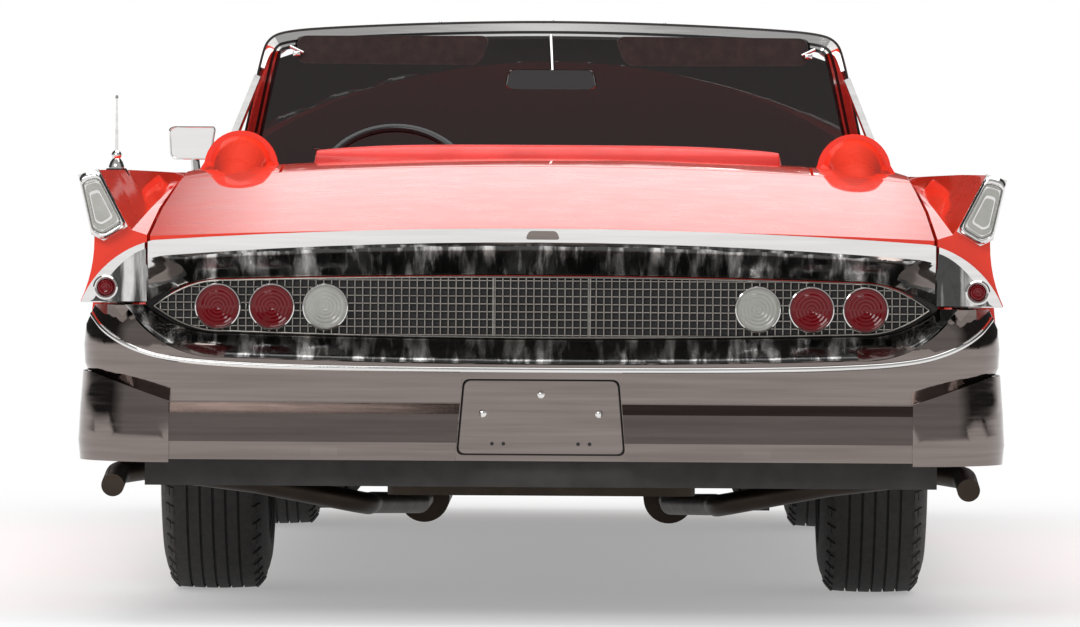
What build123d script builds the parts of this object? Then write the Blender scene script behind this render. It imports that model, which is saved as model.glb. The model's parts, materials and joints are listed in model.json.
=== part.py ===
from build123d import *

import os
from math import asin, cos, radians, sin

# A full-size two-door convertible of the late 1950s, seen in the reference from behind.
#
# The car stands on the ground plane and faces +Y. +X is its right-hand side. The origin is on the ground,
# in the middle of its length and width. All sizes are millimetres.

# Overall sizes of the car
overall_length = 5817.0
overall_width = 2035.0
body_height = 990.0
wheelbase = 0.571944 * overall_length
front_overhang = 0.169331 * overall_length
track = 0.75774 * overall_width
half_length = overall_length / 2
half_width = overall_width / 2
front_axle_y = half_length - front_overhang
rear_axle_y = front_axle_y - wheelbase


def sized(shares, sizes):
    """A row of a table in millimetres: each share times the size that it is a share of."""
    return tuple(share * size for share, size in zip(shares, sizes))


# What the shares of a table are shares of: points along the car, points seen from behind, profiles of the
# bumpers, rows that describe half of an arch across the car, and rows that describe a dome
BODY_SIZES = (half_width, half_length, body_height)
ACROSS_SIZES = (half_width, body_height)
RAIL_SIZES = (body_height, body_height)
ARCH_SIZES = (half_width, half_width, body_height, half_width, body_height, body_height)
DOME_SIZES = (half_width, body_height, half_width, body_height, body_height)

# Walls, gaps and clearances
skin = 55.0
lid_skin = 40.0
panel_gap = 7.0
seat_gap = 0.3
seal_width = 24.0
running_gap = 0.5
overrun = 60.0

# Where the body panels part, along the car
lid_front_y = -0.53636 * half_length
cover_front_y = -0.40915 * half_length
door_rear_y = -0.13753 * half_length
door_front_y = 0.34726 * half_length
cowl_front_y = 0.42118 * half_length
lid_half_width = 0.84226 * half_width
cover_half_width = 0.6113 * half_width
cabin_half_width = 0.78624 * half_width
hood_half_width = 0.68796 * half_width
cowl_half_width = 0.84717 * half_width
cowl_rear_y = 0.26474 * half_length
post_x = 0.72727 * half_width
post_y = 0.29569 * half_length
door_bevel = 22.0
hood_seal_z = 0.92929 * body_height
door_inner_x = 0.85307 * half_width
door_foot_z = 0.34848 * body_height

# Tyres and wheels
tyre_radius = 0.371717 * body_height
tyre_width = 250.0
tread_width = 178.0
rim_radius = 0.497283 * tyre_radius
rim_width = 190.0
rim_wall = 12.0
disc_thickness = 16.0
disc_offset = 42.0
cover_radius = 0.456522 * tyre_radius
cover_depth = 26.0
hub_radius = 0.130435 * tyre_radius
spindle_radius = 26.0
spindle_reach = 44.0
rim_flange_width = 8.0
rim_flange_radius = 0.529891 * tyre_radius
hub_low = -10.0
drum_low = -36.0
drum_radius = 0.407609 * tyre_radius
drum_wall = 10.0
cover_step_share = 0.8
cover_waist_share = 0.5
tread_crown = 6.0

# Wheel openings in the side panels and the houses behind them
front_arch_radius = 1.154891 * tyre_radius
rear_arch_radius = 1.100543 * tyre_radius
rear_arch_drop = 0.168478 * tyre_radius

# The body's cross-sections as shares of the half width (x) and of the body height (z), chosen by hand.
# Columns: station along the car as a share of the half length, then x and z of the named points.
# The points run from the middle outwards and down: crown, valley, fin foot, fin inner, fin outer, cove,
# flank, tuck and sill.
SECTION_SHARES = (
    (-0.959, (0, 0.872), (0.842, 0.853), (0.882, 0.866), (0.955, 0.998), (0.994, 0.985),
     (0.962, 0.850), (0.995, 0.700), (0.983, 0.500), (0.930, 0.360)),
    (-0.800, (0, 0.937), (0.842, 0.912), (0.866, 0.914), (0.922, 0.999), (0.992, 0.990),
     (0.964, 0.856), (0.995, 0.700), (0.980, 0.470), (0.925, 0.330)),
    (-0.620, (0, 0.990), (0.842, 0.958), (0.858, 0.952), (0.882, 0.996), (0.985, 0.988),
     (0.963, 0.866), (0.994, 0.700), (0.978, 0.460), (0.920, 0.300)),
    (-0.480, (0, 1.030), (0.838, 0.996), (0.852, 0.976), (0.866, 0.994), (0.976, 0.983),
     (0.961, 0.876), (0.992, 0.695), (0.976, 0.450), (0.915, 0.285)),
    (-0.300, (0, 1.042), (0.815, 1.010), (0.838, 0.990), (0.856, 0.995), (0.966, 0.977),
     (0.955, 0.886), (0.989, 0.690), (0.973, 0.450), (0.912, 0.280)),
    (0.000, (0, 1.042), (0.795, 1.012), (0.825, 0.995), (0.846, 0.996), (0.957, 0.971),
     (0.948, 0.894), (0.988, 0.685), (0.972, 0.445), (0.910, 0.278)),
    (0.350, (0, 1.035), (0.765, 1.003), (0.805, 0.992), (0.840, 0.997), (0.951, 0.971),
     (0.944, 0.894), (0.987, 0.685), (0.972, 0.445), (0.910, 0.278)),
    (0.540, (0, 1.022), (0.690, 0.987), (0.765, 0.984), (0.836, 0.998), (0.953, 0.975),
     (0.946, 0.890), (0.988, 0.690), (0.974, 0.450), (0.912, 0.285)),
    (0.740, (0, 1.000), (0.688, 0.964), (0.755, 0.966), (0.842, 0.998), (0.957, 0.977),
     (0.951, 0.882), (0.988, 0.695), (0.974, 0.460), (0.912, 0.310)),
    (0.953, (0, 0.950), (0.684, 0.914), (0.745, 0.920), (0.860, 0.980), (0.950, 0.968),
     (0.952, 0.866), (0.978, 0.695), (0.960, 0.480), (0.895, 0.350)),
)
tail_y = SECTION_SHARES[0][0] * half_length
nose_y = SECTION_SHARES[-1][0] * half_length
top_z = body_height + body_height / 4
reach_x = half_width + overrun

# Outlines seen from behind, in the oval of the tail, as shares of the half width and of the body height.
# Each row is half of one lens from its tip to the middle:
# tip x, shoulder x and z, knuckle x and z between them, and the z at the middle.
UPPER_RIM_SHARES = (0.98575, 0.83047, 0.84444, 0.93366, 0.78687, 0.87475)
UPPER_RIM = sized(UPPER_RIM_SHARES, ARCH_SIZES)
UPPER_COVE_SHARES = (0.94152, 0.8059, 0.81111, 0.89631, 0.7697, 0.84444)
UPPER_COVE = sized(UPPER_COVE_SHARES, ARCH_SIZES)
LOWER_COVE_SHARES = (0.88943, 0.67813, 0.58788, 0.80098, 0.61616, 0.57576)
LOWER_COVE = sized(LOWER_COVE_SHARES, ARCH_SIZES)
GRILLE_UPPER_SHARES = (0.85111, 0.67813, 0.76162, 0.78133, 0.74141, 0.77273)
GRILLE_UPPER = sized(GRILLE_UPPER_SHARES, ARCH_SIZES)
GRILLE_LOWER_SHARES = (0.85111, 0.67813, 0.63939, 0.78133, 0.65758, 0.62828)
GRILLE_LOWER = sized(GRILLE_LOWER_SHARES, ARCH_SIZES)
cove_mouth_y = -0.98676 * half_length
cove_back_y = -0.9627 * half_length
cove_skin = 9.0
upper_tip_z = 0.70707 * body_height
lower_tip_z = 0.70101 * body_height
lens_tip_growth_share = 3.0

# Lamps in the tail
lamp_xs = (0.46388 * half_width, 0.57887 * half_width, 0.69484 * half_width)
lamp_z = 0.69899 * body_height
lamp_radius = 0.04545 * body_height
lamp_bezel_radius = 0.05152 * body_height
lamp_bezel_depth = 32.0
lamp_proud = 4.0
marker_x = 0.9317 * half_width
marker_z = 0.7404 * body_height
marker_radius = 0.01919 * body_height
marker_proud = 20.0

# Tail grille mesh: the plate, its upright bars and its level bars
grille_plate = 5.0
grille_inset = 7.0
mesh_bar = 8.0
mesh_depth = 9.0
mesh_level_bars = 3
mesh_level_pitch = 36.0
mesh_upright_bars = 31
mesh_pitch = 52.0

# Panel behind the tail grille
tail_panel_foot_z = 0.30303 * body_height
tail_panel_top_z = 0.76768 * body_height
tail_panel_half_width = 0.90909 * half_width
panel_low_half_width = 0.85111 * half_width
tail_panel_thickness = 38.0

# Chrome caps on the ends of the fins, as shares of the half width and of the body height
FIN_CAP_SHARES = ((0.889, 0.874), (0.953, 1.0), (0.996, 0.987), (0.967, 0.855), (0.940, 0.842))
fin_cap_depth = 24.0
fin_lens_proud = 8.0
fin_lens_share = 0.7

# Rear bumper: a rail swept round the tail, a plate pocket in its middle and a guard at each end
bumper_front_end_y = -0.8011 * half_length
bumper_corner_radius = 130.0
bumper_corner_run = 94.0
# Profile of the rear rail from its foot: how far out, then the height, as shares of the body height
REAR_RAIL_SHARES = (
    (-0.03434, 0.36162), (0.02626, 0.36364), (0.04646, 0.40404), (0.04242, 0.46667),
    (0.01414, 0.48889), (0.0202, 0.50505), (0.04646, 0.57172), (0.04848, 0.61212), (0.04444, 0.65657),
    (0.02424, 0.70101), (-0.03434, 0.70101),
)
REAR_RAIL = tuple(sized(row, RAIL_SIZES) for row in REAR_RAIL_SHARES)
GUARD_SHARES = (
    (0.01616, 0.35556), (0.05657, 0.35758), (0.06061, 0.4), (0.05657, 0.47475), (0.05051, 0.55354),
    (0.01616, 0.55758),
)
GUARD = tuple(sized(row, RAIL_SIZES) for row in GUARD_SHARES)
guard_seam_x = 0.7941 * half_width
guard_front_y = -0.88018 * half_length
# The guard's upper edge rises from the seam outwards: x and z of both ends
GUARD_EDGE_SHARES = (
    (0.7941, 0.49293), (0.96806, 0.55354),
)
GUARD_EDGE = tuple(sized(row, ACROSS_SIZES) for row in GUARD_EDGE_SHARES)
rail_reach = max(out for out, height in GUARD)
bumper_rear_y = rail_reach - half_length
bumper_side_x = half_width - rail_reach
bumper_top_z = REAR_RAIL[-1][1]
bumper_wall = 8.0
plate_half_width = 0.1828 * half_width
plate_top_half_width = 0.16904 * half_width
plate_top_z = 0.54545 * body_height
plate_wall = 10.0
plate_hole_spacing = 254.0
plate_hole_radius = 4.0
plate_hole_z = 0.46667 * body_height
bumper_bracket_x = (0.43243 * half_width, 0.4914 * half_width)
bumper_bracket_z = (0.37374 * body_height, 0.40404 * body_height)

# Front bumper, grille and headlamps
front_bumper_end_y = 0.81313 * half_length
FRONT_RAIL_SHARES = (
    (-0.03434, 0.33333), (0.01818, 0.33737), (0.0404, 0.38384), (0.0404, 0.45455), (0.01616, 0.48687),
    (0.0303, 0.52525), (0.0202, 0.58586), (-0.03434, 0.5899),
)
FRONT_RAIL = tuple(sized(row, RAIL_SIZES) for row in FRONT_RAIL_SHARES)
front_bumper_y = half_length - rail_reach
front_bracket_z = (0.38788 * body_height, 0.40404 * body_height)
front_bomb_x = 0.55037 * half_width
front_bomb_z = 0.41919 * body_height
front_bomb_radius = 0.05859 * body_height
front_bomb_taper = 35.0
front_grille_half_width = 0.62899 * half_width
front_grille_foot_z = 0.60606 * body_height
front_grille_top_z = 0.78788 * body_height
front_grille_depth = 36.0
front_mesh_bar = 10.0
front_mesh_depth = 10.0
front_level_bars = 4
front_upright_bars = 25
front_mesh_pitch = 50.0
nose_panel_foot_z = 0.42424 * body_height
nose_panel_top_z = 0.85859 * body_height
nose_panel_thickness = 40.0
headlamp_radius = 0.07273 * body_height
HEADLAMP_OUTER_SHARES = (0.85307, 0.84444)
HEADLAMP_OUTER = sized(HEADLAMP_OUTER_SHARES, ACROSS_SIZES)
HEADLAMP_INNER_SHARES = (0.72924, 0.7596)
HEADLAMP_INNER = sized(HEADLAMP_INNER_SHARES, ACROSS_SIZES)
headlamp_proud = 14.0
bezel_radius = 0.08889 * body_height
bezel_depth = 44.0

# Windshield: a curved slab leaning back, cut to a hoop seen from the front.
# Each arc is half width, y at the sides and y in the middle.
SLAB_FOOT_SHARES = (0.88452, 0.27506, 0.38783)
SLAB_FOOT = sized(SLAB_FOOT_SHARES, (half_width, half_length, half_length))
SLAB_HEAD_SHARES = (0.78624, 0.15541, 0.22967)
SLAB_HEAD = sized(SLAB_HEAD_SHARES, (half_width, half_length, half_length))
slab_foot_z = 0.93939 * body_height
slab_head_z = 1.43434 * body_height
glass_thickness = 7.0
frame_thickness = 52.0
# Hoops seen from the front: foot x, head x and z, corner x and z, z at the middle
HOOP_OUTER_SHARES = (0.84324, 0.75086, 1.32525, 0.64865, 1.37576, 1.40808)
HOOP_OUTER = sized(HOOP_OUTER_SHARES, ARCH_SIZES)
HOOP_INNER_SHARES = (0.80197, 0.70958, 1.30101, 0.6113, 1.33737, 1.36566)
HOOP_INNER = sized(HOOP_INNER_SHARES, ARCH_SIZES)

# Vent windows on the doors
vent_foot_z = 0.98485 * body_height
vent_top_z = 1.27475 * body_height
vent_rear_y = 0.17191 * half_length
vent_front_y = 0.26474 * half_length
vent_top_front_y = 0.19254 * half_length
vent_bar = 16.0
vent_glass = 6.0
vent_foot_x = 0.86585 * half_width
vent_lean = 22.0

# Floor, firewall, bulkhead and rails
floor_z = 0.27071 * body_height
floor_skin = 14.0
floor_top = floor_z + floor_skin
floor_wide_rear_y = -0.32319 * half_length
floor_half_width = door_inner_x
firewall_y = 0.39539 * half_length
seat_wall_y = -0.40846 * half_length
hump_z = 0.52525 * body_height
hump_rear_y = -0.63607 * half_length
trunk_floor_z = 0.42424 * body_height
trunk_floor_half_width = 0.88452 * half_width
tunnel_half_width = 0.14742 * half_width
tunnel_height = 0.1596 * body_height
rail_x = (0.39312 * half_width, 0.43636 * half_width)
rail_z = (0.30303 * body_height, 0.40404 * body_height)
rear_rail_x = (0.4226 * half_width, 0.50123 * half_width)
rear_rail_z = (0.32323 * body_height, trunk_floor_z - floor_skin)
bulkhead_top_z = 0.98485 * body_height
sill_top_z = 0.33838 * body_height
house_radius = 1.195652 * tyre_radius
house_wall = 10.0
house_inner_x = 0.57985 * half_width
house_foot_z = 0.33333 * body_height
rear_house_radius = 1.154891 * tyre_radius
front_house_outer_x = 0.88943 * half_width
rear_house_outer_x = 0.88943 * half_width
trim_inner_x = 0.56609 * half_width
trim_top_z = 0.87879 * body_height
apron_top_z = 0.88889 * body_height

# Engine and gearbox
engine_half_width = 0.32432 * half_width
engine_y = (0.44353 * half_length, 0.73577 * half_length)
engine_z = (0.33333 * body_height, 0.88889 * body_height)
sump_half_width = 0.14742 * half_width
sump_y = (0.45728 * half_length, 0.62575 * half_length)
sump_foot_z = 0.22727 * body_height
gearbox_half_width = 0.11597 * half_width
gearbox_rear_y = 0.22004 * half_length
gearbox_z = (0.26465 * body_height, 0.41212 * body_height)

# Front suspension and knuckles
kingpin_x = 0.67813 * half_width
crossmember_y = 60.0
crossmember_foot_z = 0.21717 * body_height
arm_half_width = 32.0
arm_eye_radius = 22.0
arm_thickness = 26.0
lower_eye_z = 0.692935 * tyre_radius
upper_eye_z = 1.307065 * tyre_radius
backing_radius = 0.36413 * tyre_radius
backing_thickness = 7.0
backing_offset = 28.0
backing_inner_x = 0.70369 * half_width

# Rear axle, springs and driveshaft
axle_tube_radius = 44.0
axle_tube_half_length = 0.70369 * half_width
differential_radius = 118.0
differential_depth = 150.0
spring_x = (0.44423 * half_width, 0.50713 * half_width)
spring_thickness = 34.0
spring_front_y = -0.2613 * half_length
spring_rear_y = -0.73234 * half_length
spring_z = 0.24242 * body_height
spring_hanger = 40.0
driveshaft_radius = 38.0
driveshaft_z = 0.33939 * body_height

# Exhaust and fuel tank
pipe_radius = 25.0
muffler_radius = 62.0
muffler_y = (-0.26818 * half_length, -0.06189 * half_length)
muffler_x = 0.29484 * half_width
muffler_z = 0.19394 * body_height
PIPE_ROUTE_SHARES = (
    (0.29484, -0.26818, 0.19394), (0.29484, -0.44697, 0.20202), (0.38919, -0.64638, 0.22727),
    (0.38919, -0.74953, 0.23737), (0.62899, -0.81485, 0.29293), (0.85504, -0.88362, 0.33131),
    (0.91597, -0.92488, 0.32525), (0.91794, -0.97026, 0.30303),
)
PIPE_ROUTE = tuple(sized(row, BODY_SIZES) for row in PIPE_ROUTE_SHARES)
PIPE_BENDS = (150.0, 150.0, 150.0, 130.0, 120.0, 90.0)
FRONT_PIPE_SHARES = (
    (0.23587, 0.46759, 0.33283), (0.23587, 0.46759, 0.22727), (0.29484, 0.24067, 0.19394),
    (0.29484, -0.06189, 0.19394),
)
FRONT_PIPE = tuple(sized(row, BODY_SIZES) for row in FRONT_PIPE_SHARES)
FRONT_BENDS = (60.0, 200.0)
tank_half_width = 0.33415 * half_width
tank_y = (-0.90768 * half_length, -0.71515 * half_length)
tank_foot_z = 0.27778 * body_height
tank_round = 45.0

# Cabin
seat_half_width = 0.67813 * half_width
front_cushion_y = (-0.08252 * half_length, 0.09283 * half_length)
front_cushion_top_z = 0.53535 * body_height
front_back_y = (door_rear_y, front_cushion_y[0] - seat_gap)
front_back_top_z = 0.99495 * body_height
rear_seat_half_width = trim_inner_x - 2 * running_gap
rear_cushion_y = (-0.3507 * half_length, -0.20629 * half_length)
rear_cushion_top_z = 0.52525 * body_height
rear_back_y = (seat_wall_y + house_wall + seat_gap, rear_cushion_y[0] - seat_gap)
rear_back_top_z = 1.06869 * body_height
seat_round = 0.03838 * body_height
dash_y = (0.2613 * half_length, 0.33866 * half_length)
dash_z = (0.73232 * body_height, 0.88889 * body_height)
dash_round = 30.0
STEERING_CENTER_SHARES = (-0.39803, 0.07977, 0.92626)
STEERING_CENTER = sized(STEERING_CENTER_SHARES, BODY_SIZES)
steering_radius = 212.0
steering_rim = 12.0
steering_hub_radius = 44.0
steering_hub_depth = 46.0
steering_spoke = 24.0
column_radius = 27.0
column_angle = 28.0
visor_size = (510.0, 9.0, 78.0)
visor_x = 0.40983 * half_width
visor_y = 0.18051 * half_length
visor_z = 1.36364 * body_height
visor_hanger = 18.0
visor_reach = 140.0
inside_mirror_size = (230.0, 22.0, 56.0)
inside_mirror_y = 0.20285 * half_length
inside_mirror_z = 1.24949 * body_height
inside_mirror_stalk = 7.0
header_y = 0.24239 * half_length
header_z = 1.38384 * body_height
side_mirror_size = (128.0, 52.0, 88.0)
SIDE_MIRROR_CENTER_SHARES = (-0.92776, 0.1616, 1.07273)
SIDE_MIRROR_CENTER = sized(SIDE_MIRROR_CENTER_SHARES, BODY_SIZES)
side_mirror_foot_z = 0.9596 * body_height
side_mirror_stalk = 13.0

# Shoulder domes beside the rear seat
dome_x = 0.72236 * half_width
dome_front_y = -0.40915 * half_length
dome_rear_y = -0.5312 * half_length
rim_thickness = 26.0
# Bell shapes across the car: half width and z of the foot, half width and z of the dome's base, z of its top
DOME_FRONT_SHARES = (0.10221, 0.99394, 0.07076, 1.02424, 1.08485)
DOME_FRONT = sized(DOME_FRONT_SHARES, DOME_SIZES)
DOME_REAR_SHARES = (0.0688, 0.96465, 0.03342, 0.97576, 0.98788)
DOME_REAR = sized(DOME_REAR_SHARES, DOME_SIZES)
DOME_LIP_SHARES = (0.10221, 0.99394, 0.08649, 1.0202, 1.09697)
DOME_LIP = sized(DOME_LIP_SHARES, DOME_SIZES)

# Aerial on the left fin
aerial_x = -0.94349 * half_width
aerial_y = -0.80454 * half_length
aerial_base_radius = 17.0
aerial_base_height = 34.0
aerial_foot_z = 0.94949 * body_height
aerial_z = 1.00202 * body_height
aerial_radius = 3.5
aerial_height = 165.0


def block(x_low, x_high, y_low, y_high, z_low, z_high):
    """A box between two corners."""
    size = (x_high - x_low, y_high - y_low, z_high - z_low)
    middle = ((x_high + x_low) / 2, (y_high + y_low) / 2, (z_high + z_low) / 2)
    return Pos(*middle) * Box(*size)


def mirrored(shape):
    """The same piece on the other side of the car."""
    return mirror(shape, about=Plane.YZ)


def pair(shape):
    """A piece and its mirror image, in one node."""
    return Compound(children=[*shape.solids(), *mirrored(shape).solids()])


def group(*shapes):
    """Several solids that touch nothing of each other, in one node."""
    return Compound(children=[solid for shape in shapes for solid in shape.solids()])


def rod(start, end, radius):
    """A round bar between two points."""
    axis = Vector(*end) - Vector(*start)
    plane = Plane(origin=start, z_dir=axis)
    return extrude(plane * Circle(radius), axis.length)


def section(row):
    """One row of the section table as a list of (x, z) points in millimetres."""
    return [(x_share * half_width, z_share * body_height) for x_share, z_share in row[1:]]


def outer_face(row):
    """The body's whole outline across the car at one station: arcs over the deck, the cove and the flank."""
    y = row[0] * half_length
    crown, valley, fin_foot, fin_inner, fin_outer, cove, flank, tuck, sill = section(row)

    def at(point, side=1):
        return (side * point[0], y, point[1])

    edges = [ThreePointArc(at(valley, -1), at(crown), at(valley))]
    for side in (1, -1):
        edges += [
            Line(at(valley, side), at(fin_foot, side)),
            Line(at(fin_foot, side), at(fin_inner, side)),
            Line(at(fin_inner, side), at(fin_outer, side)),
            ThreePointArc(at(fin_outer, side), at(cove, side), at(flank, side)),
            ThreePointArc(at(flank, side), at(tuck, side), at(sill, side)),
        ]
    edges.append(Line(at(sill, -1), at(sill)))
    return make_face(edges)


def inner_face(row, extra_y=0):
    """The hollow inside the body's skin at one station, open below."""
    y = row[0] * half_length + extra_y
    crown, valley, fin_foot, fin_inner, fin_outer, cove, flank, tuck, sill = section(row)
    half = [
        (valley[0], valley[1] - lid_skin),
        (cove[0] - skin, cove[1] - lid_skin),
        (flank[0] - skin, flank[1]),
        (tuck[0] - skin, tuck[1]),
        (sill[0] - skin, sill[1] - body_height / 4),
    ]
    points = [(x, y, z) for x, z in half]
    points += [(-x, y, z) for x, z in reversed(half)]
    outline = [ThreePointArc((-valley[0], y, valley[1] - lid_skin), (0, y, crown[1] - lid_skin), points[0])]
    outline += [Line(a, b) for a, b in zip(points, points[1:])]
    return make_face(outline)


body_outer = loft([outer_face(row) for row in SECTION_SHARES], ruled=True)
body_inner = loft(
    [inner_face(SECTION_SHARES[0], -overrun)]
    + [inner_face(row) for row in SECTION_SHARES]
    + [inner_face(SECTION_SHARES[-1], overrun)],
    ruled=True,
)
body_skin = body_outer - body_inner


def seal(half, y_low, y_high, z_low):
    """A flat strip across the car whose top follows the inside of the body just under a closed lid."""
    return Pos(0, 0, -seat_gap) * (body_inner & block(-half, half, y_low, y_high, z_low, top_z))


def wheel_opening(axle_y, radius, drop):
    """The round opening in a side panel, on the right-hand side."""
    across = Plane(origin=(house_inner_x, axle_y, tyre_radius - drop), z_dir=(1, 0, 0))
    return extrude(across * Circle(radius), half_width)


def front_fender():
    """Right-hand front fender, from the door to the nose, cut away where the bumper wraps round it."""
    panel = body_skin & block(
        hood_half_width + panel_gap, reach_x, door_front_y + panel_gap, nose_y, 0, top_z)
    panel -= block(
        0, reach_x, front_bumper_end_y - panel_gap, nose_y + overrun, 0, FRONT_RAIL[-1][1] + panel_gap)
    return panel - wheel_opening(front_axle_y, front_arch_radius, 0)


def bell(row, y):
    """A dome on a spread foot, as a face across the car."""
    foot_half, foot_z, base_half, base_z, peak_z = row
    left, right = dome_x - base_half, dome_x + base_half
    return make_face([
        Line((dome_x - foot_half, y, foot_z), (left, y, base_z)),
        ThreePointArc((left, y, base_z), (dome_x, y, peak_z), (right, y, base_z)),
        Line((right, y, base_z), (dome_x + foot_half, y, foot_z)),
        Line((dome_x + foot_half, y, foot_z), (dome_x - foot_half, y, foot_z)),
    ])


def shoulder_dome():
    """The rounded shoulder beside the rear seat, which fades into the deck, and its lip."""
    dome = loft([bell(DOME_FRONT, dome_front_y), bell(DOME_REAR, dome_rear_y)], ruled=True)
    return dome + extrude(bell(DOME_LIP, dome_front_y), rim_thickness, dir=(0, 1, 0))


def quarter_panel():
    """Right-hand rear quarter with its canted fin and the shoulder beside the rear seat."""
    panel = body_skin & block(
        cover_half_width + panel_gap, reach_x, tail_y, door_rear_y - panel_gap, 0, top_z)
    panel -= block(0, lid_half_width + panel_gap, tail_y - overrun, lid_front_y, 0, top_z)
    panel -= block(0, cabin_half_width, cover_front_y, 0, 0, top_z)
    panel -= block(
        0, reach_x, tail_y - overrun, bumper_front_end_y + panel_gap, 0, bumper_top_z + panel_gap)
    panel += shoulder_dome()
    return panel - wheel_opening(rear_axle_y, rear_arch_radius, rear_arch_drop)


def door():
    """Right-hand door, as thick as the whole door, with its rear end bevelled to swing clear."""
    panel = body_outer & block(door_inner_x, reach_x, door_rear_y, door_front_y, door_foot_z, top_z)
    outline = [
        (door_inner_x, door_rear_y), (half_width, door_rear_y), (door_inner_x, door_rear_y + door_bevel),
    ]
    bevel = extrude(make_face(Polyline(*outline, close=True)), top_z)
    return panel - bevel


def hood():
    rear_y = cowl_front_y + panel_gap
    return body_skin & block(-hood_half_width, hood_half_width, rear_y, nose_y, body_height / 2, top_z)


def cowl():
    """The panel under the windshield, with the two hinge posts that stand on the floor."""
    front_half, rear_half = hood_half_width, cowl_half_width
    top = body_skin & block(-front_half, front_half, door_front_y, cowl_front_y, body_height / 2, top_z)
    top += body_skin & block(-rear_half, rear_half, cowl_rear_y, door_front_y, body_height / 2, top_z)
    half = hood_half_width - seal_width
    top += body_inner & block(-half, half, cowl_front_y - seal_width, cowl_front_y, hood_seal_z, top_z)
    top += seal(half, cowl_front_y, cowl_front_y + seal_width, hood_seal_z)
    post = body_inner & block(post_x, cowl_half_width, post_y, door_front_y, floor_top, top_z)
    post += block(
        cowl_half_width, door_inner_x - seat_gap, post_y, post_y + seal_width, floor_top + seal_width,
        hood_seal_z,
    )
    return top + post + mirrored(post)


def trunk_lid():
    front_y = lid_front_y - panel_gap
    return body_skin & block(-lid_half_width, lid_half_width, tail_y, front_y, body_height / 2, top_z)


def top_well_cover():
    half = cover_half_width
    return body_skin & block(-half, half, lid_front_y, cover_front_y, body_height / 2, top_z)


def floor_pan():
    """Cabin floor with its tunnel, the step over the rear axle, the trunk floor, the rails and the sills."""
    pan = block(-floor_half_width, floor_half_width, floor_wide_rear_y, firewall_y, floor_z, floor_top)
    inner = tunnel_half_width - floor_skin
    step_x = house_inner_x - seat_gap
    tunnel_z = floor_top + tunnel_height
    pan += block(-step_x, step_x, seat_wall_y, floor_wide_rear_y, floor_z, floor_top)
    pan += block(-tunnel_half_width, tunnel_half_width, seat_wall_y, firewall_y, floor_z, tunnel_z)
    pan += block(-step_x, step_x, seat_wall_y - floor_skin, seat_wall_y, floor_z, hump_z)
    pan += block(-step_x, step_x, hump_rear_y, seat_wall_y, hump_z - floor_skin, hump_z)
    pan += block(-step_x, step_x, hump_rear_y - floor_skin, hump_rear_y, trunk_floor_z - floor_skin, hump_z)
    pan += block(-trunk_floor_half_width, trunk_floor_half_width, tail_y + tail_panel_thickness,
                 hump_rear_y - floor_skin, trunk_floor_z - floor_skin, trunk_floor_z)
    pan -= block(-inner, inner, seat_wall_y - overrun, firewall_y + overrun, 0, tunnel_z - floor_skin)
    rail = block(*rear_rail_x, tail_y + tail_panel_thickness, hump_rear_y - floor_skin, *rear_rail_z)
    sill = body_outer & block(
        floor_half_width, reach_x, door_rear_y - panel_gap, door_front_y + panel_gap, 0, sill_top_z)
    for piece in (rail, sill):
        pan += piece
        pan += mirrored(piece)
    return pan


def firewall():
    """The wall between cabin and engine, which touches the inside of the body all round."""
    wall = body_inner & block(-half_width, half_width, firewall_y, firewall_y + house_wall, floor_z, top_z)
    inner = tunnel_half_width - floor_skin
    return wall - block(-inner, inner, 0, firewall_y + overrun, 0, floor_top + tunnel_height - floor_skin)


def seat_bulkhead():
    """The wall behind the rear seat, up to the deck."""
    half = trim_inner_x
    wall = block(-half, half, seat_wall_y, seat_wall_y + house_wall, floor_top, bulkhead_top_z)
    wall += seal(half, seat_wall_y - seal_width, seat_wall_y, bulkhead_top_z - seal_width)
    return wall - block(-tunnel_half_width, tunnel_half_width, -half_length, 0, 0, floor_top + tunnel_height)


def side_trim():
    """Right-hand inner side beside the rear seat: an upright panel and the ledge on top of it."""
    front_y = door_rear_y - panel_gap
    wall = block(trim_inner_x, trim_inner_x + house_wall, seat_wall_y, front_y, floor_top, trim_top_z)
    ledge_x = cabin_half_width - seat_gap
    wall += block(trim_inner_x, ledge_x, seat_wall_y, front_y, trim_top_z - house_wall, trim_top_z)
    wall += block(trim_inner_x, ledge_x, front_y - house_wall, front_y, floor_top, trim_top_z)
    return wall


def half_shell(axle_y, radius, x_low, x_high):
    """The upper half of a round wheel house over one wheel, open below."""
    across = Plane(origin=(x_low, axle_y, tyre_radius), z_dir=(1, 0, 0))
    shell = extrude(across * (Circle(radius + house_wall) - Circle(radius)), x_high - x_low)
    return shell & block(x_low, x_high, axle_y - wheelbase, axle_y + wheelbase, house_foot_z, top_z)


def wheel_houses():
    """Inner sides over the four wheels. The front ones stand on the rails beside the engine."""
    apron_y = (firewall_y + house_wall, nose_y - nose_panel_thickness)
    rail = block(*rail_x, *apron_y, *rail_z)
    apron = block(rail_x[1], rail_x[1] + house_wall, *apron_y, rail_z[0], apron_top_z)
    front = rail + apron + half_shell(front_axle_y, house_radius, rail_x[1], front_house_outer_x)
    side = extrude(Plane(origin=(house_inner_x, rear_axle_y, tyre_radius), z_dir=(1, 0, 0))
                   * Circle(rear_house_radius + house_wall), house_wall)
    side &= block(0, reach_x, rear_axle_y - wheelbase, 0, hump_z - floor_skin, top_z)
    rear = half_shell(rear_axle_y, rear_house_radius, house_inner_x, rear_house_outer_x) + side
    return group(front, mirrored(front), rear, mirrored(rear))


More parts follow.
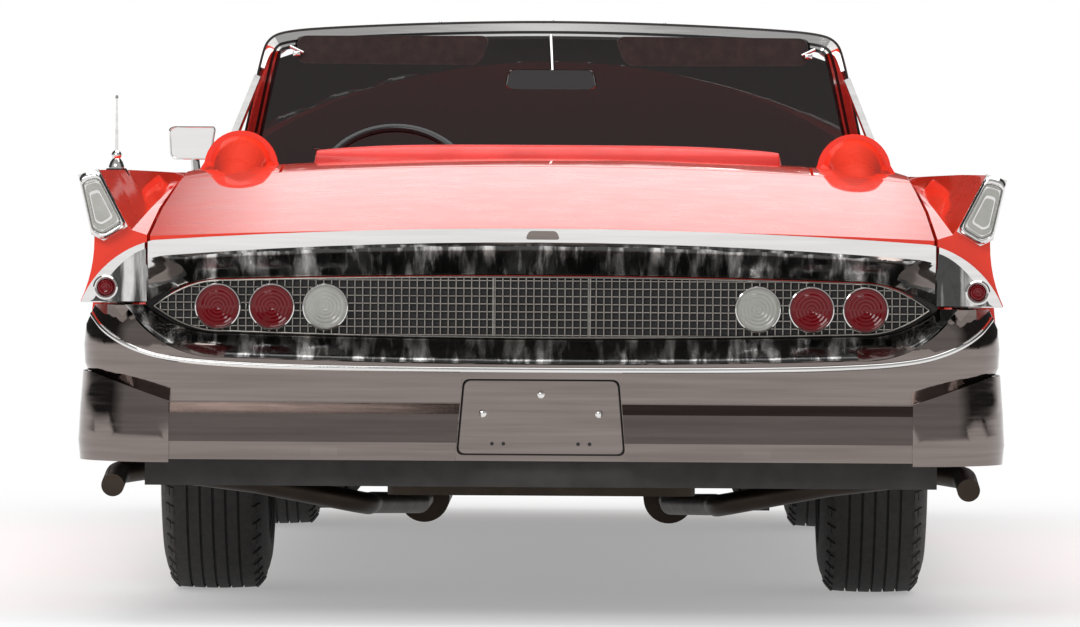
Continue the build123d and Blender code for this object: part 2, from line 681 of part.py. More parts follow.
def tail_panel():
    """The upright panel that carries the tail grille and the lamps."""
    depth = (tail_y, tail_y + tail_panel_thickness)
    low = block(-panel_low_half_width, panel_low_half_width, *depth, tail_panel_foot_z, tail_panel_top_z)
    passage = block(bumper_bracket_x[0] - seat_gap, bumper_bracket_x[1] + seat_gap, *depth,
                    bumper_bracket_z[0] - seat_gap, bumper_bracket_z[1] + seat_gap)
    low -= passage
    low -= mirrored(passage)
    half = tail_panel_half_width
    high = block(-half, half, *depth, bumper_top_z + panel_gap, tail_panel_top_z)
    lip_y = depth[1] - seal_width
    return low + high + seal(lid_half_width - 2 * seal_width, lip_y, depth[1], tail_panel_top_z)


def nose_panel():
    """The upright panel that carries the front grille and the headlamps."""
    depth = (nose_y - nose_panel_thickness, nose_y)
    low = block(-panel_low_half_width, panel_low_half_width, *depth, nose_panel_foot_z, nose_panel_top_z)
    high = block(-half_width, half_width, *depth, FRONT_RAIL[-1][1] + panel_gap, nose_panel_top_z)
    return body_inner & (low + high)


def lens_half(row, y, tip_z):
    """Half of a lens-shaped outline, above or below the line between its two tips."""
    tip_x, shoulder_x, shoulder_z, knuckle_x, knuckle_z, middle_z = row
    return make_face([
        ThreePointArc((-tip_x, y, tip_z), (-knuckle_x, y, knuckle_z), (-shoulder_x, y, shoulder_z)),
        ThreePointArc((-shoulder_x, y, shoulder_z), (0, y, middle_z), (shoulder_x, y, shoulder_z)),
        ThreePointArc((shoulder_x, y, shoulder_z), (knuckle_x, y, knuckle_z), (tip_x, y, tip_z)),
        Line((tip_x, y, tip_z), (-tip_x, y, tip_z)),
    ])


def grown(row, margin, side):
    """A lens row moved outwards by a margin. side is +1 for an upper half and -1 for a lower one."""
    tip_x, shoulder_x, shoulder_z, knuckle_x, knuckle_z, middle_z = row
    return (tip_x + lens_tip_growth_share * margin, shoulder_x, shoulder_z + side * margin,
            knuckle_x + margin, knuckle_z + side * margin, middle_z + side * margin)


def slab_of(face, depth):
    return extrude(face, depth, dir=(0, 1, 0))


def cove_hollow(mouth, back, tip_z):
    """The space that narrows from the mouth of the cove to the grille, open in front."""
    inner_end = lens_half(back, cove_back_y, tip_z)
    narrowing = loft([lens_half(mouth, cove_mouth_y, tip_z), inner_end], ruled=True)
    return narrowing + slab_of(inner_end, tail_y - cove_back_y + overrun)


def upper_ring():
    """Upper half of the chrome oval: the band round the tail and the cove inside it."""
    rim = slab_of(lens_half(UPPER_RIM, cove_mouth_y, upper_tip_z), tail_y - cove_mouth_y)
    return rim - cove_hollow(UPPER_COVE, GRILLE_UPPER, upper_tip_z)


def trunk_band():
    """The middle of the oval, on the trunk lid, set back where it passes the tail panel."""
    band = upper_ring() & block(-lid_half_width, lid_half_width, cove_mouth_y, tail_y, 0, top_z)
    set_back = tail_panel_top_z + panel_gap
    return band - block(-lid_half_width, lid_half_width, tail_y - panel_gap, 0, 0, set_back)


def fin_cap():
    """The chrome cap on the end of the right-hand fin, with its raised lens."""
    outline = [(x * half_width, z * body_height) for x, z in FIN_CAP_SHARES]
    center_x = sum(x for x, z in outline) / len(outline)
    center_z = sum(z for x, z in outline) / len(outline)
    points = [(x, tail_y, z) for x, z in outline]
    cap = extrude(make_face(Polyline(*points, close=True)), fin_cap_depth, dir=(0, -1, 0))
    inner = [
        (center_x + fin_lens_share * (x - center_x), tail_y, center_z + fin_lens_share * (z - center_z))
        for x, z in outline
    ]
    raised = make_face(Polyline(*inner, close=True))
    return cap + extrude(raised, fin_cap_depth + fin_lens_proud, dir=(0, -1, 0))


def tail_trim():
    """The ends of the chrome oval on the quarters and the caps on the fins."""
    end = upper_ring() & block(lid_half_width + panel_gap, reach_x, cove_mouth_y, tail_y, 0, top_z)
    return pair(group(end, fin_cap()))


def button(x, y, z, radius, depth, crown):
    """A round lens that faces rearwards (depth under zero: forwards), with a crowned face."""
    sphere = (radius**2 + crown**2) / (2 * crown)
    half_drop = sphere - sphere * cos(asin(radius / (2 * sphere)))
    face = make_face([
        Line((0, 0), (radius, 0)), Line((radius, 0), (radius, depth)),
        ThreePointArc((radius, depth), (radius / 2, depth + crown - half_drop), (0, depth + crown)),
        Line((0, depth + crown), (0, 0)),
    ])
    lens = revolve(face, Axis.Y)
    return Pos(x, y, z) * lens


def tail_lamps():
    """Two red lamps a side in the grille and a red marker at each end of the oval."""
    radius = lamp_radius - seat_gap
    lenses = [button(x, tail_y, lamp_z, radius, -lamp_bezel_depth, -lamp_proud) for x in lamp_xs[1:]]
    proud = -marker_proud / 2
    marker = button(marker_x, cove_mouth_y, marker_z, marker_radius, proud, proud)
    return pair(group(*lenses, marker))


def reversing_lamps():
    return pair(button(lamp_xs[0], tail_y, lamp_z, lamp_radius - seat_gap, -lamp_bezel_depth, -lamp_proud))


def mesh(level_zs, upright_xs, y, bar, depth, reach_z):
    """A grid of flat bars, level and upright."""
    span = max(upright_xs) + bar / 2
    bars = [block(-span, span, y, y + depth, z - bar / 2, z + bar / 2) for z in level_zs]
    bars += [block(x - bar / 2, x + bar / 2, y, y + depth, *reach_z) for x in upright_xs]
    return bars[0] + bars[1:]


def spread(count, pitch, middle=0):
    """Places of a row of like bars about a middle."""
    return [middle + (i - (count - 1) / 2) * pitch for i in range(count)]


def tail_grille():
    """The lens-shaped grille across the tail: a plate, its mesh and the six lamp bezels, in one casting."""
    upper, lower = grown(GRILLE_UPPER, -grille_inset, 1), grown(GRILLE_LOWER, -grille_inset, -1)
    outline = lens_half(upper, tail_y, lamp_z) + lens_half(lower, tail_y, lamp_z)
    plate = extrude(outline, grille_plate, dir=(0, -1, 0))
    bars = mesh(
        spread(mesh_level_bars, mesh_level_pitch, lamp_z), spread(mesh_upright_bars, mesh_pitch),
        tail_y - grille_plate - mesh_depth, mesh_bar, mesh_depth, (GRILLE_LOWER[-1], GRILLE_UPPER[-1]),
    )
    casting = plate + (bars & extrude(outline, grille_plate + mesh_depth, dir=(0, -1, 0)))
    for x in [side * lamp_x for side in (1, -1) for lamp_x in lamp_xs]:
        plane = Plane(origin=(x, tail_y, lamp_z), z_dir=(0, -1, 0))
        casting += extrude(plane * Circle(lamp_bezel_radius), lamp_bezel_depth)
    for x in [side * lamp_x for side in (1, -1) for lamp_x in lamp_xs]:
        plane = Plane(origin=(x, tail_y + overrun, lamp_z), z_dir=(0, -1, 0))
        casting -= extrude(plane * Circle(lamp_radius), 2 * overrun)
    return casting


def rail_path(side_x, end_y, face_y):
    """The level line that a bumper follows, from one side of the car round its end to the other."""
    side = 1 if face_y > 0 else -1
    turn_y = face_y - side * bumper_corner_run
    turn_x = side_x - bumper_corner_run
    points = [(side_x, end_y), (side_x, turn_y), (turn_x, face_y)]
    points += [(-x, y) for x, y in reversed(points)]
    return FilletPolyline(*points, radius=bumper_corner_radius)


def swept(profile, side_x, end_y, face_y):
    """A bumper section, given as distances out and heights, swept along the path of the bumper."""
    plane = Plane(origin=(side_x, end_y, 0), x_dir=(1, 0, 0), z_dir=(0, -1, 0))
    section_face = make_face(plane * Polyline(*profile, close=True))
    return sweep(section_face, path=rail_path(side_x, end_y, face_y))


def thinned(profile):
    """The hollow behind a bumper section, open to the back."""
    foot, top = profile[0], profile[-1]
    inside = [(out - bumper_wall, height) for out, height in profile[1:-1]]
    return [
        (foot[0] - overrun, foot[1] + bumper_wall), (inside[0][0], foot[1] + bumper_wall),
        *inside[1:-1],
        (inside[-1][0], top[1] - bumper_wall), (top[0] - overrun, top[1] - bumper_wall),
    ]


def plate_pocket(margin, front_y, back_y):
    """The tapered recess for the number plate, wider at its foot."""
    foot_z = REAR_RAIL[0][1] - margin
    points = [
        (-plate_half_width - margin, front_y, foot_z), (plate_half_width + margin, front_y, foot_z),
        (plate_top_half_width + margin, front_y, plate_top_z + margin),
        (-plate_top_half_width - margin, front_y, plate_top_z + margin),
    ]
    return slab_of(make_face(Polyline(*points, close=True)), back_y - front_y)


def corner_guard(route):
    """The right-hand guard round the corner of the rear bumper, with an upper edge that rises outwards."""
    guard = swept(GUARD, *route) & block(guard_seam_x, reach_x, -half_length, guard_front_y, 0, top_z)
    (low_x, low_z), (high_x, high_z) = GUARD_EDGE
    above = [(low_x, -half_length, low_z), (high_x, -half_length, high_z), (high_x, -half_length, top_z),
             (low_x, -half_length, top_z)]
    return guard - slab_of(make_face(Polyline(*above, close=True)), half_length)


def bumper_rear():
    """Rear bumper: rail, lower half of the cove, plate pocket, corner guards and brackets to the rails."""
    route = (bumper_side_x, bumper_front_end_y, bumper_rear_y)
    solid_rail = swept(REAR_RAIL, *route)
    bumper = solid_rail - swept(thinned(REAR_RAIL), *route)
    back_y = bumper_rear_y - REAR_RAIL[0][0]
    pocket = solid_rail & plate_pocket(bumper_wall, tail_y - half_length, back_y)
    bumper += pocket
    opening = lens_half(LOWER_COVE, -half_length, lower_tip_z)
    half = LOWER_COVE[0]
    opening_top = block(-half, half, -half_length, tail_y, lower_tip_z - bumper_wall, top_z)
    bumper -= slab_of(opening, half_length + tail_y)
    bumper -= opening_top
    mouth_y = bumper_rear_y - max(out for out, height in REAR_RAIL)
    ring = slab_of(lens_half(grown(LOWER_COVE, cove_skin, -1), mouth_y, lower_tip_z), tail_y - mouth_y)
    ring &= solid_rail + block(-reach_x, reach_x, bumper_rear_y, tail_y, 0, top_z)
    bumper += ring - cove_hollow(LOWER_COVE, GRILLE_LOWER, lower_tip_z)
    bumper -= slab_of(opening, half_length + cove_mouth_y)
    guard = corner_guard(route)
    bumper += guard
    bumper += mirrored(guard)
    bumper -= plate_pocket(0, -half_length, back_y - plate_wall)
    inner_face_y = bumper_rear_y - REAR_RAIL[2][0] + bumper_wall / 2
    bracket = block(*bumper_bracket_x, inner_face_y, tail_y + tail_panel_thickness, *bumper_bracket_z)
    bumper += bracket
    bumper += mirrored(bracket)
    for x in (-plate_hole_spacing / 2, plate_hole_spacing / 2):
        plane = Plane(origin=(x, -half_length, plate_hole_z), z_dir=(0, 1, 0))
        bumper -= extrude(plane * Circle(plate_hole_radius), half_length + tail_y)
    return bumper


def bumper_front():
    """Front bumper: rail, two round guards and the brackets to the rails."""
    route = (bumper_side_x, front_bumper_end_y, front_bumper_y)
    bumper = swept(FRONT_RAIL, *route) - swept(thinned(FRONT_RAIL), *route)
    reach = max(out for out, height in FRONT_RAIL)
    bracket = block(*rail_x, nose_y - nose_panel_thickness, front_bumper_y + reach - bumper_wall / 2,
                    *front_bracket_z)
    wall_y = front_bumper_y + reach - bumper_wall / 2
    plane = Plane(origin=(front_bomb_x, wall_y, front_bomb_z), z_dir=(0, 1, 0))
    bomb = extrude(plane * Circle(front_bomb_radius), half_length - wall_y, taper=front_bomb_taper)
    for piece in (bracket, bomb):
        bumper += piece
        bumper += mirrored(piece)
    return bumper


def front_grille():
    """Rounded chrome grille of level and upright bars on the nose panel."""
    middle_z = (front_grille_foot_z + front_grille_top_z) / 2
    plane = Plane(origin=(0, nose_y, middle_z), x_dir=(-1, 0, 0), z_dir=(0, 1, 0))
    height = front_grille_top_z - front_grille_foot_z
    outline = plane * SlotOverall(2 * front_grille_half_width, height)
    hole = plane * SlotOverall(2 * (front_grille_half_width - front_mesh_bar), height - 2 * front_mesh_bar)
    frame = extrude(outline - hole, front_grille_depth)
    bars = mesh(
        spread(front_level_bars, height / (front_level_bars + 1), middle_z),
        spread(front_upright_bars, front_mesh_pitch), nose_y, front_mesh_bar, front_mesh_depth,
        (front_grille_foot_z, front_grille_top_z),
    )
    return frame + (bars & extrude(outline, front_mesh_depth))


def headlamp_pod(radius, depth, face_y):
    """A pair of round forms on a slant, one for each headlamp of the right-hand side, joined into one."""
    pod = None
    for x, z in (HEADLAMP_OUTER, HEADLAMP_INNER):
        plane = Plane(origin=(x, face_y, z), z_dir=(0, 1, 0))
        disc = extrude(plane * Circle(radius), depth)
        pod = disc if pod is None else pod + disc
    return pod


def headlamp_bezels():
    bezel = headlamp_pod(bezel_radius, bezel_depth, nose_y)
    return pair(bezel - headlamp_pod(headlamp_radius, bezel_depth + overrun, nose_y))


def headlamps():
    lenses = [button(x, nose_y, z, headlamp_radius - seat_gap, bezel_depth / 2, headlamp_proud)
              for x, z in (HEADLAMP_OUTER, HEADLAMP_INNER)]
    return pair(group(*lenses))


def windshield_slab(thickness):
    """A curved, leaning slab as wide as the body."""
    faces = []
    for (half, side_y, middle_y), z in ((SLAB_FOOT, slab_foot_z), (SLAB_HEAD, slab_head_z)):
        front, back = thickness / 2, -thickness / 2
        faces.append(make_face([
            ThreePointArc((-half, side_y + front, z), (0, middle_y + front, z), (half, side_y + front, z)),
            Line((half, side_y + front, z), (half, side_y + back, z)),
            ThreePointArc((half, side_y + back, z), (0, middle_y + back, z), (-half, side_y + back, z)),
            Line((-half, side_y + back, z), (-half, side_y + front, z)),
        ]))
    return loft(faces, ruled=True)


def hoop(row, margin=0):
    """The windshield's outline seen from the front, as a prism along the car."""
    foot_x, head_x, head_z, corner_x, corner_z, middle_z = row
    face = make_face([
        Line((-foot_x + margin, 0, slab_foot_z), (-head_x + margin, 0, head_z)),
        Line((-head_x + margin, 0, head_z), (-corner_x + margin, 0, corner_z - margin)),
        ThreePointArc((-corner_x + margin, 0, corner_z - margin), (0, 0, middle_z - margin),
                      (corner_x - margin, 0, corner_z - margin)),
        Line((corner_x - margin, 0, corner_z - margin), (head_x - margin, 0, head_z)),
        Line((head_x - margin, 0, head_z), (foot_x - margin, 0, slab_foot_z)),
        Line((foot_x - margin, 0, slab_foot_z), (-foot_x + margin, 0, slab_foot_z)),
    ])
    return slab_of(face, half_length)


def windshield_frame():
    """The hoop round the windshield, with its feet on the cowl."""
    inner = hoop(HOOP_INNER) + block(-HOOP_INNER[0], HOOP_INNER[0], 0, half_length, 0, slab_foot_z)
    return (windshield_slab(frame_thickness) & hoop(HOOP_OUTER)) - inner - body_outer


def windshield_glass():
    return (windshield_slab(glass_thickness) & hoop(HOOP_INNER, seat_gap)) - body_outer


def vent_window():
    """Right-hand vent window that stands on the door: its frame and its pane."""
    lean = radians(vent_lean)
    plane = Plane(origin=(vent_foot_x, 0, vent_foot_z), x_dir=(0, 1, 0), z_dir=(cos(lean), 0, sin(lean)))
    height = vent_top_z - vent_foot_z
    outer = [(vent_rear_y, 0), (vent_front_y, 0), (vent_top_front_y, height), (vent_rear_y, height)]
    inner = [(vent_rear_y + vent_bar, -overrun), (vent_front_y - vent_bar, -overrun),
             (vent_front_y - vent_bar, vent_bar), (vent_top_front_y - vent_bar / 2, height - vent_bar),
             (vent_rear_y + vent_bar, height - vent_bar)]
    solid = extrude(plane * make_face(Polyline(*outer, close=True)), vent_bar / 2, both=True)
    hole = make_face(Polyline(*inner, close=True))
    frame = solid - extrude(plane * hole, vent_bar, both=True)
    pane = extrude(plane * offset(hole, -seat_gap), vent_glass / 2, both=True) & solid
    return group(frame - body_outer, pane - body_outer)


def side_mirror():
    """Round-edged mirror on a stalk on the left-hand door."""
    x, y, z = SIDE_MIRROR_CENTER
    head = Pos(x, y, z) * Box(*side_mirror_size)
    head = fillet(head.edges(), side_mirror_size[1] / 3)
    return (head + rod((x, y, side_mirror_foot_z), (x, y, z), side_mirror_stalk)) - body_outer


def aerial():
    """Aerial on the left-hand fin: a tapered foot and a short mast."""
    top = (aerial_x, aerial_y, aerial_z)
    foot = rod((aerial_x, aerial_y, aerial_foot_z), top, aerial_base_radius)
    base = Pos(*top) * Cone(
        aerial_base_radius, aerial_radius, aerial_base_height, align=(Align.CENTER, Align.CENTER, Align.MIN))
    mast = rod(top, (aerial_x, aerial_y, aerial_z + aerial_height), aerial_radius)
    return (foot + base + mast) - body_outer


def cushion(half, y_range, z_range):
    """A soft block with rounded edges."""
    solid = block(-half, half, *y_range, *z_range)
    return fillet(solid.edges(), seat_round)


def front_seat():
    foot = floor_top + tunnel_height + seat_gap
    half = seat_half_width - seat_round
    base = block(-half, half, front_cushion_y[0] + seat_round, front_cushion_y[1] - seat_round,
                 floor_top + seat_gap, foot + seat_round)
    inner = tunnel_half_width + seat_gap
    base -= block(-inner, inner, -half_length, half_length, 0, foot)
    seat = base + cushion(seat_half_width, front_cushion_y, (foot, front_cushion_top_z))
    return group(seat, cushion(seat_half_width, front_back_y, (foot, front_back_top_z)))


def rear_seat():
    foot = floor_top + tunnel_height + seat_gap
    half = rear_seat_half_width - seat_round
    base = block(-half, half, rear_cushion_y[0] + seat_round, rear_cushion_y[1] - seat_round,
                 floor_top + seat_gap, foot + seat_round)
    inner = tunnel_half_width + seat_gap
    base -= block(-inner, inner, -half_length, half_length, 0, foot)
    seat = base + cushion(rear_seat_half_width, rear_cushion_y, (foot, rear_cushion_top_z))
    return group(seat, cushion(rear_seat_half_width, rear_back_y, (foot, rear_back_top_z)))


def dashboard():
    half = post_x - seat_gap
    panel = block(-half, half, *dash_y, *dash_z)
    return fillet(panel.edges().filter_by(Axis.X), dash_round)


steering_axis = Vector(0, -cos(radians(column_angle)), sin(radians(column_angle)))
wheel_plane = Plane(origin=STEERING_CENTER, x_dir=(1, 0, 0), z_dir=steering_axis)


def steering_wheel():
    """Thin rim, two spokes and the hub, in the plane of the wheel."""
    rim = Torus(steering_radius, steering_rim)
    hub = Cylinder(steering_hub_radius, steering_hub_depth)
    spoke = Box(2 * steering_radius, steering_spoke, steering_rim)
    return wheel_plane * (rim + hub + spoke)


def steering_column():
    """Column from the steering wheel to the firewall, with its bracket under the dashboard."""
    x, y, z = STEERING_CENTER
    top = Vector(*STEERING_CENTER) - steering_axis * (steering_hub_depth / 2 + running_gap)
    length = (firewall_y - y) / cos(radians(column_angle)) + overrun
    column = rod(tuple(top), tuple(top - steering_axis * length), column_radius)
    rear_y = dash_y[0] + dash_round
    low_z = z - (rear_y - y) * sin(radians(column_angle)) / cos(radians(column_angle))
    bracket = block(x - column_radius, x + column_radius, rear_y, dash_y[1] - dash_round,
                    low_z, dash_z[0] - seat_gap)
    return (column + bracket) - block(-half_width, half_width, firewall_y, half_length, 0, top_z)


def sun_visors(frame, glass):
    """Two flat visors that hang from the header."""
    width, thickness, height = visor_size
    low_x, high_x = visor_x - width / 2, visor_x + width / 2
    panel = block(low_x, high_x, visor_y, visor_y + thickness, visor_z - height, visor_z)
    hanger = block(visor_x - visor_hanger, visor_x + visor_hanger, visor_y, visor_y + visor_reach,
                   visor_z - visor_hanger, visor_z)
    return pair((panel + hanger) - frame - glass)


def inside_mirror(frame, glass):
    """Mirror on a stalk from the header."""
    width, thickness, height = inside_mirror_size
    head = Pos(0, inside_mirror_y, inside_mirror_z) * Box(width, thickness, height)
    stalk = rod((0, inside_mirror_y, inside_mirror_z), (0, header_y, header_z), inside_mirror_stalk)
    return (head + stalk) - frame - glass


def engine_block():
    """The engine with its sump and the gearbox behind it, as plain solids."""
    engine = block(-engine_half_width, engine_half_width, *engine_y, *engine_z)
    engine += block(-sump_half_width, sump_half_width, *sump_y, sump_foot_z, engine_z[0])
    return engine + block(-gearbox_half_width, gearbox_half_width, gearbox_rear_y, engine_y[0], *gearbox_z)


def front_suspension():
    """Crossmember under the engine with an upper and a lower arm for each knuckle."""
    member = block(-rail_x[0], rail_x[0], front_axle_y - crossmember_y, front_axle_y + crossmember_y,
                   crossmember_foot_z, engine_z[0] - seat_gap)
    upper = None
    for z, start_x in ((lower_eye_z, rail_x[0] - arm_half_width), (upper_eye_z, rail_x[1] + house_wall)):
        arm = block(start_x, kingpin_x, front_axle_y - arm_half_width, front_axle_y + arm_half_width,
                    z - arm_thickness / 2, z + arm_thickness / 2)
        arm += rod((kingpin_x, front_axle_y, z - arm_thickness / 2),
                   (kingpin_x, front_axle_y, z + arm_thickness / 2), arm_eye_radius)
        arm -= block(kingpin_x, reach_x, front_axle_y + arm_eye_radius, half_length, 0, top_z)
        if z == lower_eye_z:
            member += arm
            member += mirrored(arm)
        else:
            upper = arm
    return group(member, upper, mirrored(upper))


def knuckle():
    """Right-hand knuckle: an upright between the arms, the brake's backing plate and the spindle."""
    low = lower_eye_z + arm_thickness / 2 + running_gap
    high = upper_eye_z - arm_thickness / 2 - running_gap
    upright = rod((kingpin_x, front_axle_y, low), (kingpin_x, front_axle_y, high), arm_eye_radius)
    center = (kingpin_x, front_axle_y, tyre_radius)
    spindle = rod(center, (track / 2 + spindle_reach, front_axle_y, tyre_radius), spindle_radius)
    plate = rod((kingpin_x + backing_offset, front_axle_y, tyre_radius),
                (kingpin_x + backing_offset + backing_thickness, front_axle_y, tyre_radius), backing_radius)
    return upright + spindle + plate


def rear_axle():
    """Rear axle with its differential, driveshaft, backing plates and leaf springs."""
    y, z = rear_axle_y, tyre_radius
    spindle_end = track / 2 + spindle_reach
    axle = rod((-axle_tube_half_length, y, z), (axle_tube_half_length, y, z), axle_tube_radius)
    axle += rod((-spindle_end, y, z), (spindle_end, y, z), spindle_radius)
    axle += rod((0, y - differential_depth / 2, z), (0, y + differential_depth / 2, z), differential_radius)
    axle += rod((0, y, z), (0, gearbox_rear_y - 2 * seat_gap, driveshaft_z), driveshaft_radius)
    leaf = block(*spring_x, spring_rear_y, spring_front_y, spring_z - spring_thickness / 2,
                 spring_z + spring_thickness / 2)
    leaf += block(*spring_x, y - axle_tube_radius, y + axle_tube_radius, spring_z, z)
    leaf += block(*spring_x, spring_front_y - spring_hanger, spring_front_y, spring_z, floor_z)
    leaf += block(*spring_x, spring_rear_y, spring_rear_y + spring_hanger, spring_z, rear_rail_z[0])
    plate = rod((backing_inner_x, y, z), (backing_inner_x + backing_thickness, y, z), backing_radius)
    for piece in (leaf, plate):
        axle += piece
        axle += mirrored(piece)
    return axle


def pipe(route, bends):
    """A round pipe along straight runs joined by arcs."""
    path = FilletPolyline(*route, radius=bends)
    start = Plane(origin=route[0], z_dir=Vector(*route[1]) - Vector(*route[0]))
    return sweep(start * Circle(pipe_radius), path=path)


def exhaust():
    """A pipe, a silencer and a tail pipe on each side, hung from the floor."""
    line = pipe(PIPE_ROUTE, PIPE_BENDS) + pipe(FRONT_PIPE, FRONT_BENDS)
    line += rod((muffler_x, muffler_y[0], muffler_z), (muffler_x, muffler_y[1], muffler_z), muffler_radius)
    for y in muffler_y:
        inward = (muffler_y[0] + muffler_y[1]) / 2 - y
        hanger_y = y + inward / 4
        line += block(muffler_x - pipe_radius, muffler_x + pipe_radius, hanger_y - pipe_radius / 2,
                      hanger_y + pipe_radius / 2, muffler_z, floor_z)
    return pair(line)


def fuel_tank():
    tank = block(-tank_half_width, tank_half_width, *tank_y, tank_foot_z, trunk_floor_z - floor_skin)
    return fillet(tank.edges().filter_by(Axis.Z), tank_round)


def about_axle(profile, x, y):
    """A profile of (distance outboard, radius) turned about the wheel's axle at one corner of the car."""
    side = 1 if x > 0 else -1
    plane = Plane(origin=(x, y, tyre_radius), x_dir=(side, 0, 0), z_dir=(0, -side, 0))
    return revolve(plane * profile, Axis((x, y, tyre_radius), (1, 0, 0)))


def ring_profile(low, high, inner, outer):
    """A rectangle in a wheel's profile: from low to high outboard, between two radii."""
    return Pos((low + high) / 2, (inner + outer) / 2) * Rectangle(high - low, outer - inner)


def wheel(x, y):
    """Pressed wheel with its brake drum, hub and domed cover."""
    edge = rim_width / 2
    disc_low, disc_high = disc_offset - disc_thickness / 2, disc_offset + disc_thickness / 2
    bore = spindle_radius + running_gap
    profile = ring_profile(-edge, edge, rim_radius - rim_wall, rim_radius)
    profile += ring_profile(-edge, rim_flange_width - edge, rim_radius - rim_wall, rim_flange_radius)
    profile += ring_profile(edge - rim_flange_width, edge, rim_radius - rim_wall, rim_flange_radius)
    profile += ring_profile(disc_low, disc_high, bore, rim_radius - rim_wall / 2)
    profile += ring_profile(hub_low, disc_low, bore, hub_radius)
    profile += ring_profile(drum_low, disc_low, drum_radius - drum_wall, drum_radius)
    waist = (disc_high + cover_depth * cover_step_share, cover_radius * cover_waist_share)
    profile += make_face(Polyline(
        (disc_high, 0), (disc_high + cover_depth, 0), waist, (disc_high + drum_wall, cover_radius),
        (disc_high, cover_radius), close=True,
    ))
    return about_axle(profile, x, y)


def tyre(x, y):
    """Tyre with a flat tread and rounded side walls. The tread's grooves are left plain."""
    bead = rim_width / 2 - rim_flange_width - seat_gap
    flange = rim_flange_radius + seat_gap
    half = tyre_width / 2
    bulge = (rim_radius + tyre_radius) / 2
    shoulder = (tread_width / 2, tyre_radius - tread_crown)
    foot = (rim_width / 2 + seat_gap, flange + seat_gap)
    seat = rim_radius + seat_gap
    profile = make_face([
        Line((-bead, seat), (bead, seat)), Line((bead, seat), (bead, flange)), Line((bead, flange), foot),
        ThreePointArc(foot, (half, bulge), shoulder),
        ThreePointArc(shoulder, (0, tyre_radius), (-shoulder[0], shoulder[1])),
        ThreePointArc((-shoulder[0], shoulder[1]), (-half, bulge), (-foot[0], foot[1])),
        Line((-foot[0], foot[1]), (-bead, flange)), Line((-bead, flange), (-bead, seat)),
    ])
    return about_axle(profile, x, y)


frame = windshield_frame()
glass = windshield_glass()
corners = {
    "front_right": (track / 2, front_axle_y), "front_left": (-track / 2, front_axle_y),
    "rear_right": (track / 2, rear_axle_y), "rear_left": (-track / 2, rear_axle_y),
}
right_pieces = {
    "fender": front_fender, "quarter": quarter_panel, "door": door, "vent_window": vent_window,
    "knuckle": knuckle,
}
nodes = {
    "floor_pan": floor_pan(),
    "firewall": firewall(),
    "seat_bulkhead": seat_bulkhead(),
    "side_trims": pair(side_trim()),
    "wheel_houses": wheel_houses(),
    "cowl": cowl(),
    "hood": hood(),
    "trunk_lid": trunk_lid(),
    "trunk_band": trunk_band(),
    "top_well_cover": top_well_cover(),
    "tail_panel": tail_panel(),
    "tail_trim": tail_trim(),
    "tail_grille": tail_grille(),
    "tail_lamps": tail_lamps(),
    "reversing_lamps": reversing_lamps(),
    "nose_panel": nose_panel(),
    "front_grille": front_grille(),
    "headlamp_bezels": headlamp_bezels(),
    "headlamps": headlamps(),
    "bumper_rear": bumper_rear(),
    "bumper_front": bumper_front(),
    "windshield_frame": frame,
    "windshield_glass": glass,
    "sun_visors": sun_visors(frame, glass),
    "inside_mirror": inside_mirror(frame, glass),
    "side_mirror": side_mirror(),
    "aerial": aerial(),
    "dashboard": dashboard(),
    "steering_column": steering_column(),
    "steering_wheel": steering_wheel(),
    "front_seat": front_seat(),
    "rear_seat": rear_seat(),
    "engine_block": engine_block(),
    "front_suspension": front_suspension(),
    "rear_axle": rear_axle(),
    "exhaust": exhaust(),
    "fuel_tank": fuel_tank(),
}
for name, make in right_pieces.items():
    piece = make()
    nodes[f"{name}_right"] = piece
    nodes[f"{name}_left"] = mirrored(piece)
for name, (x, y) in corners.items():
    nodes[f"wheel_{name}"] = wheel(x, y)
    nodes[f"tyre_{name}"] = tyre(x, y)

os.makedirs("parts", exist_ok=True)
for name, shape in nodes.items():
    export_step(shape, f"parts/{name}.step")
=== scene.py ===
import json
import math

import bmesh
import bpy
from bpy.props import FloatProperty, FloatVectorProperty, IntProperty, PointerProperty
from bpy.types import Operator, Panel, PropertyGroup
from mathutils import Matrix, Vector
from mathutils.bvhtree import BVHTree

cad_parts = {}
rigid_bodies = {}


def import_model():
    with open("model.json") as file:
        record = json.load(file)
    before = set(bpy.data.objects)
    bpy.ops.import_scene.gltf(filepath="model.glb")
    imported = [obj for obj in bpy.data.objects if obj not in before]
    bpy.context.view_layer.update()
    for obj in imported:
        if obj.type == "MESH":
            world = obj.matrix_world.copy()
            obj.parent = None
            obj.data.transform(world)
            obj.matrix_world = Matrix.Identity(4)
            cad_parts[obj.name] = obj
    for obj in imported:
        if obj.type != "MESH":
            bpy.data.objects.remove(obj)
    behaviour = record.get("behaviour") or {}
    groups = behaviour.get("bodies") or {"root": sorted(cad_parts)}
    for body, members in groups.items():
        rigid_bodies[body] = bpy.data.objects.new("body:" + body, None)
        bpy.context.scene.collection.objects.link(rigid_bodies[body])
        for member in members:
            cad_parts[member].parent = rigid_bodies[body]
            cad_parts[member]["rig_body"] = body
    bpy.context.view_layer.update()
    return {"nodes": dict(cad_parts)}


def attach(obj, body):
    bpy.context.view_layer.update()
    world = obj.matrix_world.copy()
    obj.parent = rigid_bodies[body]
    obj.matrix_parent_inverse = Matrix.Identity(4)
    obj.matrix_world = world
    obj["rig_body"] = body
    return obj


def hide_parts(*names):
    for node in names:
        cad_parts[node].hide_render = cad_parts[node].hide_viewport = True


bl_info = {
    "name": "Finned convertible",
    "version": (1, 0, 0),
    "blender": (4, 5, 0),
    "location": "View3D > Sidebar > Convertible",
    "description": "Panels, chrome, lamps, tyres, seats and small trim of an open two-door car",
    "category": "Object",
}

